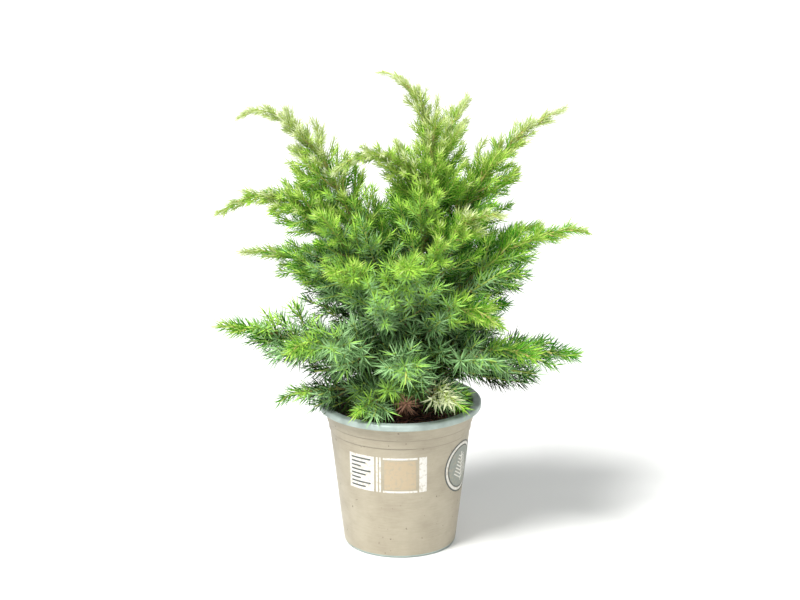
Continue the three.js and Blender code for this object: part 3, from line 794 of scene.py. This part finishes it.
heights = np.linspace(-STEM_SUNK, STEM_HEIGHT, STEM_RINGS)
stem_line = np.array([stem_point(h) for h in heights])
radii = [stem_radius(max(0, h)) for h in heights]
limbs = [tube(stem_line, radii, STEM_SIDES, bark_relief(STRIP_WIDTH))]
for name, bough in BOUGHS.items():
    length = bough[-1]
    shares = np.linspace(0, BARE_SHARE, BOUGH_RINGS)
    bough_line = along_line(lines[name], shares)[0]
    radii = foot_radius(length) + (tip_radius(length) - foot_radius(length)) * shares / BARE_SHARE
    limbs.append(tube(bough_line, radii, BOUGH_SIDES, bark_relief(STRIP_WIDTH * 0.7)))
limb_points, limb_faces = joined(limbs)

# Juniper bark: matt, red brown on the ridges of its strips and grey brown in the splits.
bark, tree = new_material("stripping_juniper_bark")
place = add_node(tree, "TexCoord", {})
grain = add_node(tree, "Mapping", {"Vector": place.outputs["Object"],
                                   "Scale": (1 / (1.1 * MM), 1 / (1.1 * MM), 1 / (9 * MM))})
strip = add_node(tree, "TexNoise", {"Vector": grain.outputs["Vector"], "Scale": 1.0,
                                    "Detail": 6.0, "Roughness": 0.65})
tint = add_node(tree, "ValToRGB", {"Fac": strip.outputs["Fac"]},
                stops=[(0.32, "#3c2a20"), (0.66, "#a5714a")])
relief = add_node(tree, "Bump", {"Height": strip.outputs["Fac"], "Strength": 0.7,
                                 "Distance": 0.25 * MM})
shader = add_node(tree, "BsdfPrincipled", {"Base Color": tint.outputs["Color"], "Roughness": 0.8,
                                           "Normal": relief.outputs["Normal"]})
add_node(tree, "OutputMaterial", {"Surface": shader.outputs["BSDF"]})
wood = mesh_object("stem_and_boughs", limb_points * MM, limb_faces, [bark], smooth=True)
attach(wood, "root")
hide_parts("main_stem", *("bough_" + name for name in BOUGHS))

# The foliage: each bough runs on as a thin stem with side twigs turned round it by the
# golden angle, and those carry twiglets. Awl shaped needles stand on all of them in
# threes: long and spreading low in the plant, short and pressed forward at the tips.
# Its side twigs grow by the source's rule and values, in millimetres and degrees.
TWIG_PITCH = 6.6
TWIG_PLACE_PLAY = 0.4
TWIG_LENGTH_PLAY = 0.2
TWIG_TAPER = 1.3
INNER_TWIG_SHARE = 0.85
GOLDEN_ANGLE = 137.5
TWIG_ROLL_PLAY = 40
TWIG_ANGLE_INNER = 52
TWIG_ANGLE_OUTER = 27
TWIG_LENGTH_LEAST = 5
SPREAD_BASE = 20
SPREAD_SHARE = 0.16
RIM_SPREAD_SHARE = 0.6
UPPER_SIDE_LOSS = 0.5
FORWARD_BEND = 0.25
UPWARD_BEND = 0.05
SEED = 113
SEED_STEP = 37
GAP = 0.3
SPACE_MARGIN = 1
POT_CLEARANCE = 2
TWIG_CLEARANCE = 3
NEARLY_UPRIGHT = 0.2
TWIG_TRIES = (1, 0.8, 0.6, 0.4)
TEST_SHARES = np.array([0.4, 0.55, 0.7, 0.85, 1])
ROOT_SHARE = np.array([0.25])

# Finer shoots than the source has: a filling of thin twigs between the side twigs,
# twiglets on both, tufts on the bare foot of each bough, and two shoots that stand up.
FINE_OVERLAP = 5
FILLING_PITCH = {"low": 4.8, "mid": 3.8, "top": 3.2}
FILLING_SHARE = 0.85
FILLING_TAPER = 1.35
TUFT_LENGTH = 15
TUFT_PITCH = 2.2
TWIGLET_PITCH = {"low": 5.6, "mid": 4.8, "top": 3.6}
TWIGLET_SHARE = 0.42
TWIGLET_LEAST = 3.5
TWIGLET_TAPER = 0.9
TWIGLET_ROLL_PLAY = 50
TWIGLET_LUCK = (0.75, 0.5)
TWIGLET_ANGLE_INNER = 52
TWIGLET_ANGLE_FALL = 24
TWIGLET_ANGLE_PLAY = 8
TWIGLET_PLACE = (0.2, 0.5)
TWIGLET_LEAST_LOSS = 0.4
TWIGLET_OUT = 0.3
TWIGLET_TRIES = (1, 0.7, 0.45)
TWIGLET_LUCK_SHARES = (0.8, 0.3)
FILLING_BARE = 0.02
TWIGLET_BARE = 0.12
FILLING_OUT = 3.3
STEM_OUT = 0.75
UPRIGHT_SHOOTS = {"low_left": [(0.44, 60, 20), (0.63, 52, 12)]}

# The needles, longer and wider apart on the low masses than on the top ones. They close
# and shorten towards a shoot's tip, and the last few millimetres are fresher in tint.
NEEDLE_LENGTH = {"low": 12.2, "mid": 9.4, "top": 6.9}
NEEDLE_LEAN = {"low": 66, "mid": 60, "top": 52}
NEEDLE_WIDTH = {"low": 0.76, "mid": 0.78, "top": 0.84}
NEEDLE_THICKNESS = 0.34
NEEDLE_WAIST = 0.26
NEEDLE_BOW = math.radians(6)
NEEDLE_ROLL_PLAY = 26
NEEDLE_LEAN_PLAY = 16
NEEDLE_LEAN_LOSS = 12
NEEDLE_LENGTH_LOSS = 0.3
NEEDLE_LENGTH_LUCK = (0.8, 0.35)
NEEDLE_TINT_PLAY = 1.2
TIP_CLOSING = {"low": 0.3, "mid": 0.38, "top": 0.32}
TIP_SHORTENING = {"low": 0.2, "mid": 0.22, "top": 0.15}
FRESH_TIPS = {"low": 0.9, "mid": 1.2, "top": 1.4}
WHORL_STEP = {"low": 1.75, "mid": 1.55, "top": 1.25}
WHORL_STEP_TIP = 0.55
TIP_ZONE = 9.0
FRESH_ZONE = 6
FIRST_WHORL = 0.3
LAST_WHORL = 200
FULL_WIDTH_LENGTH = 8
WIDTH_LIMITS = (0.7, 1.1)
NEEDLE_FOOT_DEPTH = 0.5
BARE_FOOT = 0.04
reach_low = np.array(cad_low) / MM
reach_high = np.array(cad_high) / MM

# The inner ends of every line's pieces, for the test of whose space a point lies in.
line_names = list(lines)
segment_start = np.concatenate([lines[name][:-1] for name in line_names])
segment_step = np.concatenate([np.diff(lines[name], axis=0) for name in line_names])
segment_owner = np.concatenate([np.full(len(lines[n]) - 1, i) for i, n in enumerate(line_names)])


def distances(points, start, step):
    """The distance from each point to each straight piece."""
    away = points[:, None] - start[None]
    share = np.clip((away * step).sum(2) / (step * step).sum(1), 0, 1)
    return np.linalg.norm(away - share[..., None] * step, axis=2)


def in_own_space(points, name, margin):
    """Whether points keep off the pot and are nearer their own bough than any other."""
    out = np.hypot(points[:, 0], points[:, 1])
    inside = out < (WALL_TOP_RADIUS - WALL) / MM - POT_CLEARANCE
    floor_here = np.where(inside, PEAT_TOP, POT_HEIGHT) / MM + POT_CLEARANCE
    if not np.all((out > RIM_RADIUS / MM + POT_CLEARANCE) | (points[:, 2] > floor_here)):
        return False
    if name not in line_names:
        return True
    away = distances(points, segment_start, segment_step)
    mine = segment_owner == line_names.index(name)
    return bool(np.all(away[:, ~mine].min(1) > away[:, mine].min(1) + margin))


def within_reach(points, margin):
    """Which points lie inside the box of the solids, by a margin."""
    return np.all((points > reach_low + margin) & (points < reach_high - margin), axis=1)


def make_dice(seed):
    """The source's own dice, so that both grow the same side twigs."""
    state = seed
    while True:
        state = (state * 1664525 + 1013904223) % 4294967296
        yield state / 4294967296


def leaving(heading, roll, angle):
    """Directions that leave headings at angles, rolled round them from the level side."""
    heading = np.atleast_2d(heading)
    side = np.cross([0, 0, 1], heading)
    upright = np.linalg.norm(side, axis=1) < NEARLY_UPRIGHT
    side[upright] = np.cross([1, 0, 0], heading[upright])
    side /= np.linalg.norm(side, axis=1)[:, None]
    roll = np.radians(roll)[..., None]
    angle = np.radians(angle)[..., None]
    outward = side * np.cos(roll) + np.cross(heading, side) * np.sin(roll)
    return heading * np.cos(angle) + outward * np.sin(angle)


def twig_curve(start, heading, roll, angle, length, shares):
    """One side twig: it leaves its parent at an angle, then bends forward and up."""
    away = leaving(heading, np.array([roll]), np.array([angle]))[0]
    bend = length * shares[:, None] ** 2
    points = start + away * length * shares[:, None] + heading * FORWARD_BEND * bend
    return points + np.array([0, 0, UPWARD_BEND]) * bend


def upper_side_kept(heading, roll):
    """Twigs are shorter on the upper side of a limb that leans over."""
    return 1 - UPPER_SIDE_LOSS * max(0, leaving(heading, np.array([roll]), np.array([90.0]))[0, 2])


def spread_of(name, length):
    """How far a mass's side twigs reach. The one that lies on the pot's rim is thin."""
    return (RIM_SPREAD_SHARE if name == "low_rim_left" else 1) * (SPREAD_BASE + SPREAD_SHARE * length)


def side_twigs(name, length, start, dice):
    """The side twigs of one mass, grown by the source's rule with the source's dice."""
    spread = spread_of(name, length)
    count = int(length * (1 - start) / TWIG_PITCH)
    twigs = []
    taken = []
    for i in range(count):
        out = (i + TWIG_PLACE_PLAY * (1 + next(dice))) / count
        roll = GOLDEN_ANGLE * i + TWIG_ROLL_PLAY * next(dice)
        inner = min(1, INNER_TWIG_SHARE + 2 * out)
        luck = 1 + TWIG_LENGTH_PLAY * (2 * next(dice) - 1)
        angle = TWIG_ANGLE_INNER + (TWIG_ANGLE_OUTER - TWIG_ANGLE_INNER) * out
        point, heading = along_line(lines[name], np.array([start + (1 - start) * out]))
        kept = upper_side_kept(heading, roll)
        full = (spread * (1 - out) ** TWIG_TAPER + TWIG_LENGTH_LEAST) * inner * luck * kept
        for shorter in TWIG_TRIES:
            grown = full * shorter
            spots = twig_curve(point, heading, roll, angle, grown, TEST_SHARES)
            near = [distances(spots, t[:-1], np.diff(t, axis=0)).min() for t in taken]
            root = twig_curve(point, heading, roll, angle, grown, ROOT_SHARE)
            if min(near, default=TWIG_CLEARANCE * 2) > TWIG_CLEARANCE:
                if in_own_space(np.concatenate([root, spots]), name, SPACE_MARGIN):
                    curve = twig_curve(point, heading, roll, angle, grown, np.linspace(0, 1, 9))
                    twigs.append({"line": curve, "length": grown, "out": out})
                    taken.append(curve[::2])
                    break
    return twigs


def twiglets(parent, name, pitch, longest, first, dice, taper=TWIGLET_TAPER):
    """Short shoots round a longer one, which get shorter towards its tip."""
    count = int(parent["length"] * (1 - first) / pitch)
    found = []
    for i in range(count):
        out = (i + TWIGLET_PLACE[0] + TWIGLET_PLACE[1] * dice.random()) / (count + 0.5)
        roll = GOLDEN_ANGLE * i + TWIGLET_ROLL_PLAY * dice.random()
        luck = TWIGLET_LUCK[0] + TWIGLET_LUCK[1] * dice.random()
        least = TWIGLET_LEAST * (1 - TWIGLET_LEAST_LOSS * out)
        full = (longest * (1 - out) ** taper + least) * luck
        angle = TWIGLET_ANGLE_INNER - TWIGLET_ANGLE_FALL * out + TWIGLET_ANGLE_PLAY * (dice.random() - 0.5)
        point, heading = along_line(parent["line"], np.array([first + (1 - first) * out]))
        full *= upper_side_kept(heading, roll)
        for shorter in TWIGLET_TRIES:
            curve = twig_curve(point, heading, roll, angle, full * shorter, np.linspace(0, 1, 5))
            if in_own_space(curve[[2, 4]], name, -FINE_OVERLAP) and within_reach(curve, 1).all():
                place = parent["out"] + (1 - parent["out"]) * TWIGLET_OUT * out
                found.append({"line": curve, "length": full * shorter, "out": place})
                break
    return found


# Whorls counted back from a shoot's tip: close together at the bud, wider further back.
whorl_places = {}
for level, step in WHORL_STEP.items():
    places = [FIRST_WHORL]
    while places[-1] < LAST_WHORL:
        ease = min(1, places[-1] / TIP_ZONE)
        places.append(places[-1] + step * (WHORL_STEP_TIP + (1 - WHORL_STEP_TIP) * ease))
    whorl_places[level] = np.array(places)


def whorl_needles(shoot, level, root, thick, tone, dice, sparse=1.0):
    """One shoot's needles: foot, direction, blade side, length, width and tint of each."""
    length = shoot["length"]
    back = whorl_places[level][whorl_places[level] < length * (1 - root)]
    back = back[dice.random(len(back)) < sparse]
    if not len(back):
        return None
    centres, headings = along_line(shoot["line"], 1 - back / length)
    number = np.repeat(np.arange(len(back)), 3)
    third = np.tile(np.arange(3), len(back))
    roll = 60 * number + 120 * third + NEEDLE_ROLL_PLAY * (dice.random(len(number)) - 0.5)
    heading = headings[number]
    outward = leaving(heading, roll, np.full(len(number), 90.0))
    near_tip = np.clip(1 - back[number] / TIP_ZONE, 0, 1)
    lean = NEEDLE_LEAN[level] - NEEDLE_LEAN_LOSS * shoot["out"]
    lean = lean + NEEDLE_LEAN_PLAY * (dice.random(len(number)) - 0.5)
    lean = np.radians(lean * (1 - TIP_CLOSING[level] * near_tip))
    luck = NEEDLE_LENGTH_LUCK[0] + NEEDLE_LENGTH_LUCK[1] * dice.random(len(number))
    reach = NEEDLE_LENGTH[level] * (1 - NEEDLE_LENGTH_LOSS * shoot["out"]) * luck
    reach = reach * (1 - TIP_SHORTENING[level] * near_tip)
    wide = NEEDLE_WIDTH[level] * np.clip(reach / FULL_WIDTH_LENGTH, *WIDTH_LIMITS)
    radius = thick[0] + (thick[1] - thick[0]) * (1 - back / length)
    feet = centres[number] + outward * (radius[number] * NEEDLE_FOOT_DEPTH)[:, None]
    fresh = FRESH_TIPS[level] * np.clip(1 - back[number] / FRESH_ZONE, 0, 1)
    tint = tone + fresh + NEEDLE_TINT_PLAY * (dice.random(len(number)) - 0.5)
    ends = feet + (heading * np.cos(lean)[:, None] + outward * np.sin(lean)[:, None]) * reach[:, None]
    rows = np.column_stack([feet, heading, outward, lean, reach, wide, tint])
    return rows[within_reach(ends, 0)]


def needle_mesh(needles):
    """Needles as closed awls of six facets, flat above and keeled below, a point at each end."""
    feet, heading, outward = needles[:, 0:3], needles[:, 3:6], needles[:, 6:9]
    lean, reach, wide = needles[:, 9], needles[:, 10], needles[:, 11:12]
    across = np.cross(outward, heading)

    def pointing(angle):
        return heading * np.cos(angle)[:, None] + outward * np.sin(angle)[:, None]

    first = pointing(lean + NEEDLE_BOW)
    second = pointing(lean - NEEDLE_BOW)
    waist = feet + first * (NEEDLE_WAIST * reach)[:, None]
    keel = waist - np.cross(across, first) * NEEDLE_THICKNESS * wide
    tip = waist + second * ((1 - NEEDLE_WAIST) * reach)[:, None]
    points = np.stack([feet, waist - across * wide / 2, waist + across * wide / 2, keel, tip], 1)
    facets = np.array([[0, 2, 1], [1, 2, 4], [0, 1, 3], [0, 3, 2], [1, 4, 3], [2, 3, 4]])
    return points.reshape(-1, 3), (facets + 5 * np.arange(len(needles))[:, None, None]).reshape(-1, 3)


# Needles are thin and waxy, with a weak soft shine. Each tint is a pair: the upper face,
# whitened by bands of wax, and the plain green back. They run from the old inner growth
# to the new tips, and the last is dead and dry. The first is painted shade: a near black
# green for the needles deep inside the crown, where shade falls. The palest are partly
# the fresh tips' own colour and partly painted light on the high plumes.
NEEDLE_TINTS = [
    ("painted_shade_green", "#38541e", "#122009"),
    ("old_blue_green", "#74a062", "#1e3a14"),
    ("blue_green", "#a0ca8a", "#326222"),
    ("glaucous_green", "#9fd064", "#3c841e"),
    ("mid_green", "#acda52", "#60a526"),
    ("fresh_green", "#bcda68", "#8cb842"),
    ("yellow_green", "#cedb96", "#b2c870"),
    ("pale_tip", "#e0e8bc", "#c8d69a"),
    ("dry_brown", "#b38870", "#83594a"),
]
DRY = len(NEEDLE_TINTS) - 1
needle_materials = []
for tint_name, face_colour, back_colour in NEEDLE_TINTS:
    for side_name, colour, rough in (("face", face_colour, 0.55), ("back", back_colour, 0.45)):
        needle, tree = new_material("needle_" + tint_name + "_" + side_name)
        shader = add_node(tree, "BsdfPrincipled", {
            "Base Color": to_linear(colour), "Roughness": rough, "IOR": 1.45,
            "Specular IOR Level": 0.12})
        add_node(tree, "OutputMaterial", {"Surface": shader.outputs["BSDF"]})
        needle_materials.append(needle)

# Young twigs: smooth and hairless, red brown where they have turned woody, straw
# yellow further out and green at the tip.
twig_materials = []
for twig_name, colour in (("woody", "#8a6a48"), ("ripening", "#c6b872"), ("green", "#b0c45c")):
    twig, tree = new_material("twig_" + twig_name)
    shader = add_node(tree, "BsdfPrincipled", {"Base Color": to_linear(colour), "Roughness": 0.55})
    add_node(tree, "OutputMaterial", {"Surface": shader.outputs["BSDF"]})
    twig_materials.append(twig)


# A shoot's tone is its place among the tints. It rises up the plant and out along each
# bough, with some luck of the shoot's own, and a few masses are shifted from a share of
# the way out on. The rise is partly the growth's own age and partly painted light: painted
# shade darkens the low and inner shoots, and painted light brightens the high plumes.
# One spot low in front has pale shoots with fewer and broader needles.
TONE_START = -0.9
TONE_UP = 5.4
TONE_OUT = 3.3
TONE_LUCK = 1.4
TONE_MOST = 6.2
TONE_FOOT = 90
TONE_RISE = 180
TONE_SHIFT = {
    "low_left": (1.0, 0.2), "low_rim_left": (0.7, 0.2), "low_front_left": (1.3, 0.3),
    "low_front": (-0.8, 0), "low_front_right": (0.5, 0.3), "low_right_front": (0.3, 0),
    "mid_left": (1.2, 0.2), "mid_front_left": (-0.6, 0), "mid_front": (-0.8, 0),
    "mid_front_right": (0.7, 0), "high_left": (1.2, 0), "high_arch": (-0.2, 0),
    "high_front_right": (0.3, 0), "high_back_right": (-0.5, 0), "leader": (-0.9, 0),
}
PALE_SPOT = (23, -41, 99)
PALE_REACH = 9
PALE_TONE = 6.6
PALE_WHORLS = 0.65
PALE_NEEDLES = (0.85, 1.3)
# Painted shade: the needles along each bough's bare foot take the darkest tint, so the inside of the crown
# reads dark.
INNER_SHADE_TONE = 0.2
INNER_WHORLS = 0.6
INNER_DEAD_SHARE = 0.4
TUFT_TONE = (0.3, 1.4)
NEEDLE_SIZE = slice(10, 12)
NEEDLE_TINT = -1

# Each kind of shoot: how many sides it has, how thick it is at its foot and its tip, and
# the age at its foot. Ages run from 0, which is old and woody, to 1, new and green.
SIDE_TWIG = (5, (0.62, 0.34), 0.45)
FILLING_TWIG = (4, (0.55, 0.32), 0.5)
TWIGLET = (3, (0.42, 0.26), 0.65)
TUFT = (3, (0.5, 0.3), 0.3)
COLLAR_SHOOT = (5, (0.7, 0.35), 0)
COLLAR_TWIGLET = (5, (0.4, 0.26), 0)
STEM_FOOT_AGE = {"low": 0.1, "mid": 0.2, "top": 0.35}
STEM_TIP_THICKNESS = 0.45
STEM_FIT = 0.95
STEM_POINTS = 40
RIPENING_AGES = [0.42, 0.68]
BARE_STEM = 0.15
BARE_BOUGH = 0.35


def level_of(name):
    """Whether a mass is low, in the middle or at the top."""
    level = name.split("_")[0]
    return level if level in ("low", "mid") else "top"


def tone_of(name, shoot):
    """The tone of a shoot of one mass, from its tip's height and its place on the bough."""
    tip = shoot["line"][-1]
    if np.linalg.norm(tip - PALE_SPOT) < PALE_REACH:
        return PALE_TONE
    shift, onset = TONE_SHIFT.get(name, (0, 0))
    outer = shoot["out"]
    shifted = shift * max(0, (outer - onset) / (1 - onset))
    # Painted light and shade: the tone rises with the tip's height and its place out on the bough, partly
    # as the shoot's own age and partly as painted light.
    height = (tip[2] - TONE_FOOT) / TONE_RISE
    lucky = TONE_LUCK * shoot.get("luck", 0)
    return min(TONE_START + TONE_UP * height + TONE_OUT * outer + lucky + shifted, TONE_MOST)


def upright_shoots(name, axis):
    """The shoots that stand up from a mass, as listed for it."""
    found = []
    for share, angle, reach in UPRIGHT_SHOOTS.get(name, []):
        point, heading = along_line(axis["line"], np.array([share]))
        curve = twig_curve(point, heading, 90, angle, reach, np.linspace(0, 1, 9))
        found.append({"line": curve, "length": reach, "out": share})
    return found


def grow_mass(name, length, start, start_radius, seed):
    """All the shoots and needles of one bough's mass, as twig tubes and needle rows."""
    level = level_of(name)
    fine = np.random.default_rng(seed)
    inset = max(0, start - STEM_SUNK / length)
    stem_line = along_line(lines[name], np.linspace(inset, 1, STEM_POINTS))[0]
    axis = {"line": along_line(lines[name], np.linspace(start, 1, 30))[0],
            "length": length * (1 - start), "out": 0}
    sides = side_twigs(name, length, start, make_dice(seed))
    spread = spread_of(name, length)
    filling = twiglets(axis, name, FILLING_PITCH[level], FILLING_SHARE * spread, FILLING_BARE,
                       fine, FILLING_TAPER)
    upright = upright_shoots(name, axis)
    small = []
    for shoot in sides + filling + upright:
        shoot["luck"] = fine.random() - 0.5
        longest = TWIGLET_SHARE * shoot["length"]
        for child in twiglets(shoot, name, TWIGLET_PITCH[level], longest, TWIGLET_BARE, fine):
            own_luck = TWIGLET_LUCK_SHARES[1] * (fine.random() - 0.5)
            child["luck"] = TWIGLET_LUCK_SHARES[0] * shoot["luck"] + own_luck
            small.append(child)
    if name == "leader":
        limb = {"line": lines["main_stem"], "length": STEM_HEIGHT, "out": 0}
        bare = BARE_STEM
    else:
        limb = {"line": along_line(lines[name], np.linspace(0, start, 12))[0],
                "length": length * start, "out": 0}
        bare = BARE_BOUGH
    tufts = twiglets(limb, name, TUFT_PITCH, TUFT_LENGTH, bare, fine)
    for shoot in filling:
        shoot["out"] = min(1, FILLING_OUT * shoot["out"])

    stem_thick = (start_radius, STEM_TIP_THICKNESS)
    stem_radii = np.linspace(start_radius * STEM_FIT, STEM_TIP_THICKNESS, STEM_POINTS)
    tubes = [(tube(stem_line, stem_radii, 6),
              np.linspace(STEM_FOOT_AGE[level], 1, STEM_POINTS - 1), 6)]
    axis["out"] = STEM_OUT
    rows = [whorl_needles(axis, level, 0.0, stem_thick, tone_of(name, axis), fine)]
    groups = [(sides + upright, SIDE_TWIG), (filling, FILLING_TWIG), (small, TWIGLET), (tufts, TUFT)]
    for group, (around, thick, foot_age) in groups:
        for shoot in group:
            steps = len(shoot["line"])
            tubes.append((tube(shoot["line"], np.linspace(*thick, steps), around),
                          np.linspace(foot_age, 1, steps - 1), around))
            if group is tufts:
                tone = TUFT_TONE[0] + TUFT_TONE[1] * fine.random()
            else:
                tone = tone_of(name, shoot)
            pale = tone == PALE_TONE
            sparse = PALE_WHORLS if pale else 1
            grown = whorl_needles(shoot, level, BARE_FOOT, thick, tone, fine, sparse)
            if pale and grown is not None:
                grown[:, NEEDLE_SIZE] *= PALE_NEEDLES
            rows.append(grown)
    # The needles on the bare foot of the limb, in the painted shade tint, with a share of them dead and
    # dry.
    inner = whorl_needles(limb, level, bare, (start_radius, start_radius), INNER_SHADE_TONE, fine, INNER_WHORLS)
    if inner is not None:
        inner[fine.random(len(inner)) < INNER_DEAD_SHARE, NEEDLE_TINT] = DRY
        rows.append(inner)
    return tubes, np.concatenate([row for row in rows if row is not None])


def dress(name, tubes, needles, slot, *nodes):
    """Makes a mass's two pieces, its twigs and its needles, in place of its nodes."""
    twig_points, twig_faces = joined([shape for shape, ages, around in tubes])
    age = [np.repeat(ages, around) for shape, ages, around in tubes]
    age += [np.repeat(ages[[0, -1]], around) for shape, ages, around in tubes]
    twigs = mesh_object("twigs_" + name, twig_points * MM, twig_faces, twig_materials,
                        np.digitize(np.concatenate(age), RIPENING_AGES), smooth=True)
    points, facets = needle_mesh(needles)
    tint = np.clip(np.round(needles[:, NEEDLE_TINT]), 0, DRY - 1).astype(int)
    tint[needles[:, NEEDLE_TINT] == DRY] = DRY
    facet_material = (2 * tint[:, None] + np.array([0, 0, 1, 1, 1, 1])).ravel()
    foliage = mesh_object("needles_" + name, points * MM, [facets], needle_materials,
                          facet_material)
    for piece in (twigs, foliage):
        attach(piece, "root")
        if nodes:
            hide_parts(*nodes)


for i, name in enumerate([*BOUGHS, "leader"]):
    if name == "leader":
        length, start, start_radius, seed = LEADER[-1], 0, STEM_TIP_RADIUS, SEED - SEED_STEP
    else:
        length = BOUGHS[name][-1]
        start = BARE_SHARE + GAP / length
        start_radius = tip_radius(length)
        seed = SEED + SEED_STEP * i
    tubes, needles = grow_mass(name, length, start, start_radius, seed)
    dress(name, tubes, needles, level_of(name) + "_foliage", "foliage_" + name)

# Short shoots at the collar: a few lie out over the peat, under the boughs, and one of
# those in front has died and dried. Fallen dry needles lie round them. Each shoot has its
# line, as a bough has, and then its longest twiglet and its tone.
COLLAR_PITCH = 3.6
COLLAR_BARE = 0.35
COLLAR_FOOT = 0.25
COLLAR_OUT = 0.3
DEAD_NEEDLES = (0.8, 0.6)
DEAD_TIP_AGE = 0.3
FALLEN = 190
FALLEN_LENGTH = (5, 4)
FALLEN_WIDTH = 1.1
FALLEN_LIFT = 0.7
FALLEN_OFF_WALL = 3
FALLEN_TILT = 0.25
FALLEN_TILT_MIDDLE = 0.3
COLLAR_SHOOTS = {
    "green_right": ((2, 331, 34, 2, 1.5, 40), 12, 2.9),
    "dead_front": ((2, 276, 26, 22, 1.5, 38), 4, DRY),
    "green_front": ((4, 258, 48, 4, 1.5, 40), 12, 2.5),
    "green_left": ((3, 226, 42, 8, 1.5, 38), 12, 2.2),
    "green_back": ((3, 20, 40, 4, 1.5, 38), 12, 1.8),
}
collar_dice = np.random.default_rng(SEED)
collar_tubes = []
collar_rows = []
for path, longest, tone in COLLAR_SHOOTS.values():
    dead = tone == DRY
    collar_line = arched_line(*path)
    shoot = {"line": collar_line, "length": path[-1], "out": COLLAR_OUT}
    branches = twiglets(shoot, "collar", COLLAR_PITCH, longest, COLLAR_BARE, collar_dice)
    kinds = [(shoot, COLLAR_FOOT, COLLAR_SHOOT)]
    kinds += [(branch, BARE_FOOT, COLLAR_TWIGLET) for branch in branches]
    for grown, first, (around, thick, foot_age) in kinds:
        steps = len(grown["line"])
        ages = np.linspace(foot_age, DEAD_TIP_AGE if dead else 1, steps - 1)
        collar_tubes.append((tube(grown["line"], np.linspace(*thick, steps), around), ages, around))
        rows = whorl_needles(grown, "low", first, thick, tone, collar_dice)
        if dead:
            rows[:, NEEDLE_SIZE] *= DEAD_NEEDLES
            rows[:, NEEDLE_TINT] = DRY
        collar_rows.append(rows)

out = (peat_widest / MM - FALLEN_OFF_WALL) * np.sqrt(collar_dice.random(FALLEN))
turn = 2 * np.pi * collar_dice.random(FALLEN)
heading = 2 * np.pi * collar_dice.random(FALLEN)
fallen_x = out * np.cos(turn)
fallen_y = out * np.sin(turn)
fallen_z = np.array([peat_height(x * MM, y * MM) / MM for x, y in zip(fallen_x, fallen_y)]) + FALLEN_LIFT
zeros = np.zeros(FALLEN)
collar_rows.append(np.column_stack([
    fallen_x, fallen_y, fallen_z, np.cos(heading), np.sin(heading), zeros,
    zeros, zeros, zeros + 1, FALLEN_TILT * (collar_dice.random(FALLEN) - FALLEN_TILT_MIDDLE),
    FALLEN_LENGTH[0] + FALLEN_LENGTH[1] * collar_dice.random(FALLEN), zeros + FALLEN_WIDTH, zeros + DRY]))
dress("collar", collar_tubes, np.concatenate(collar_rows), "low_foliage")
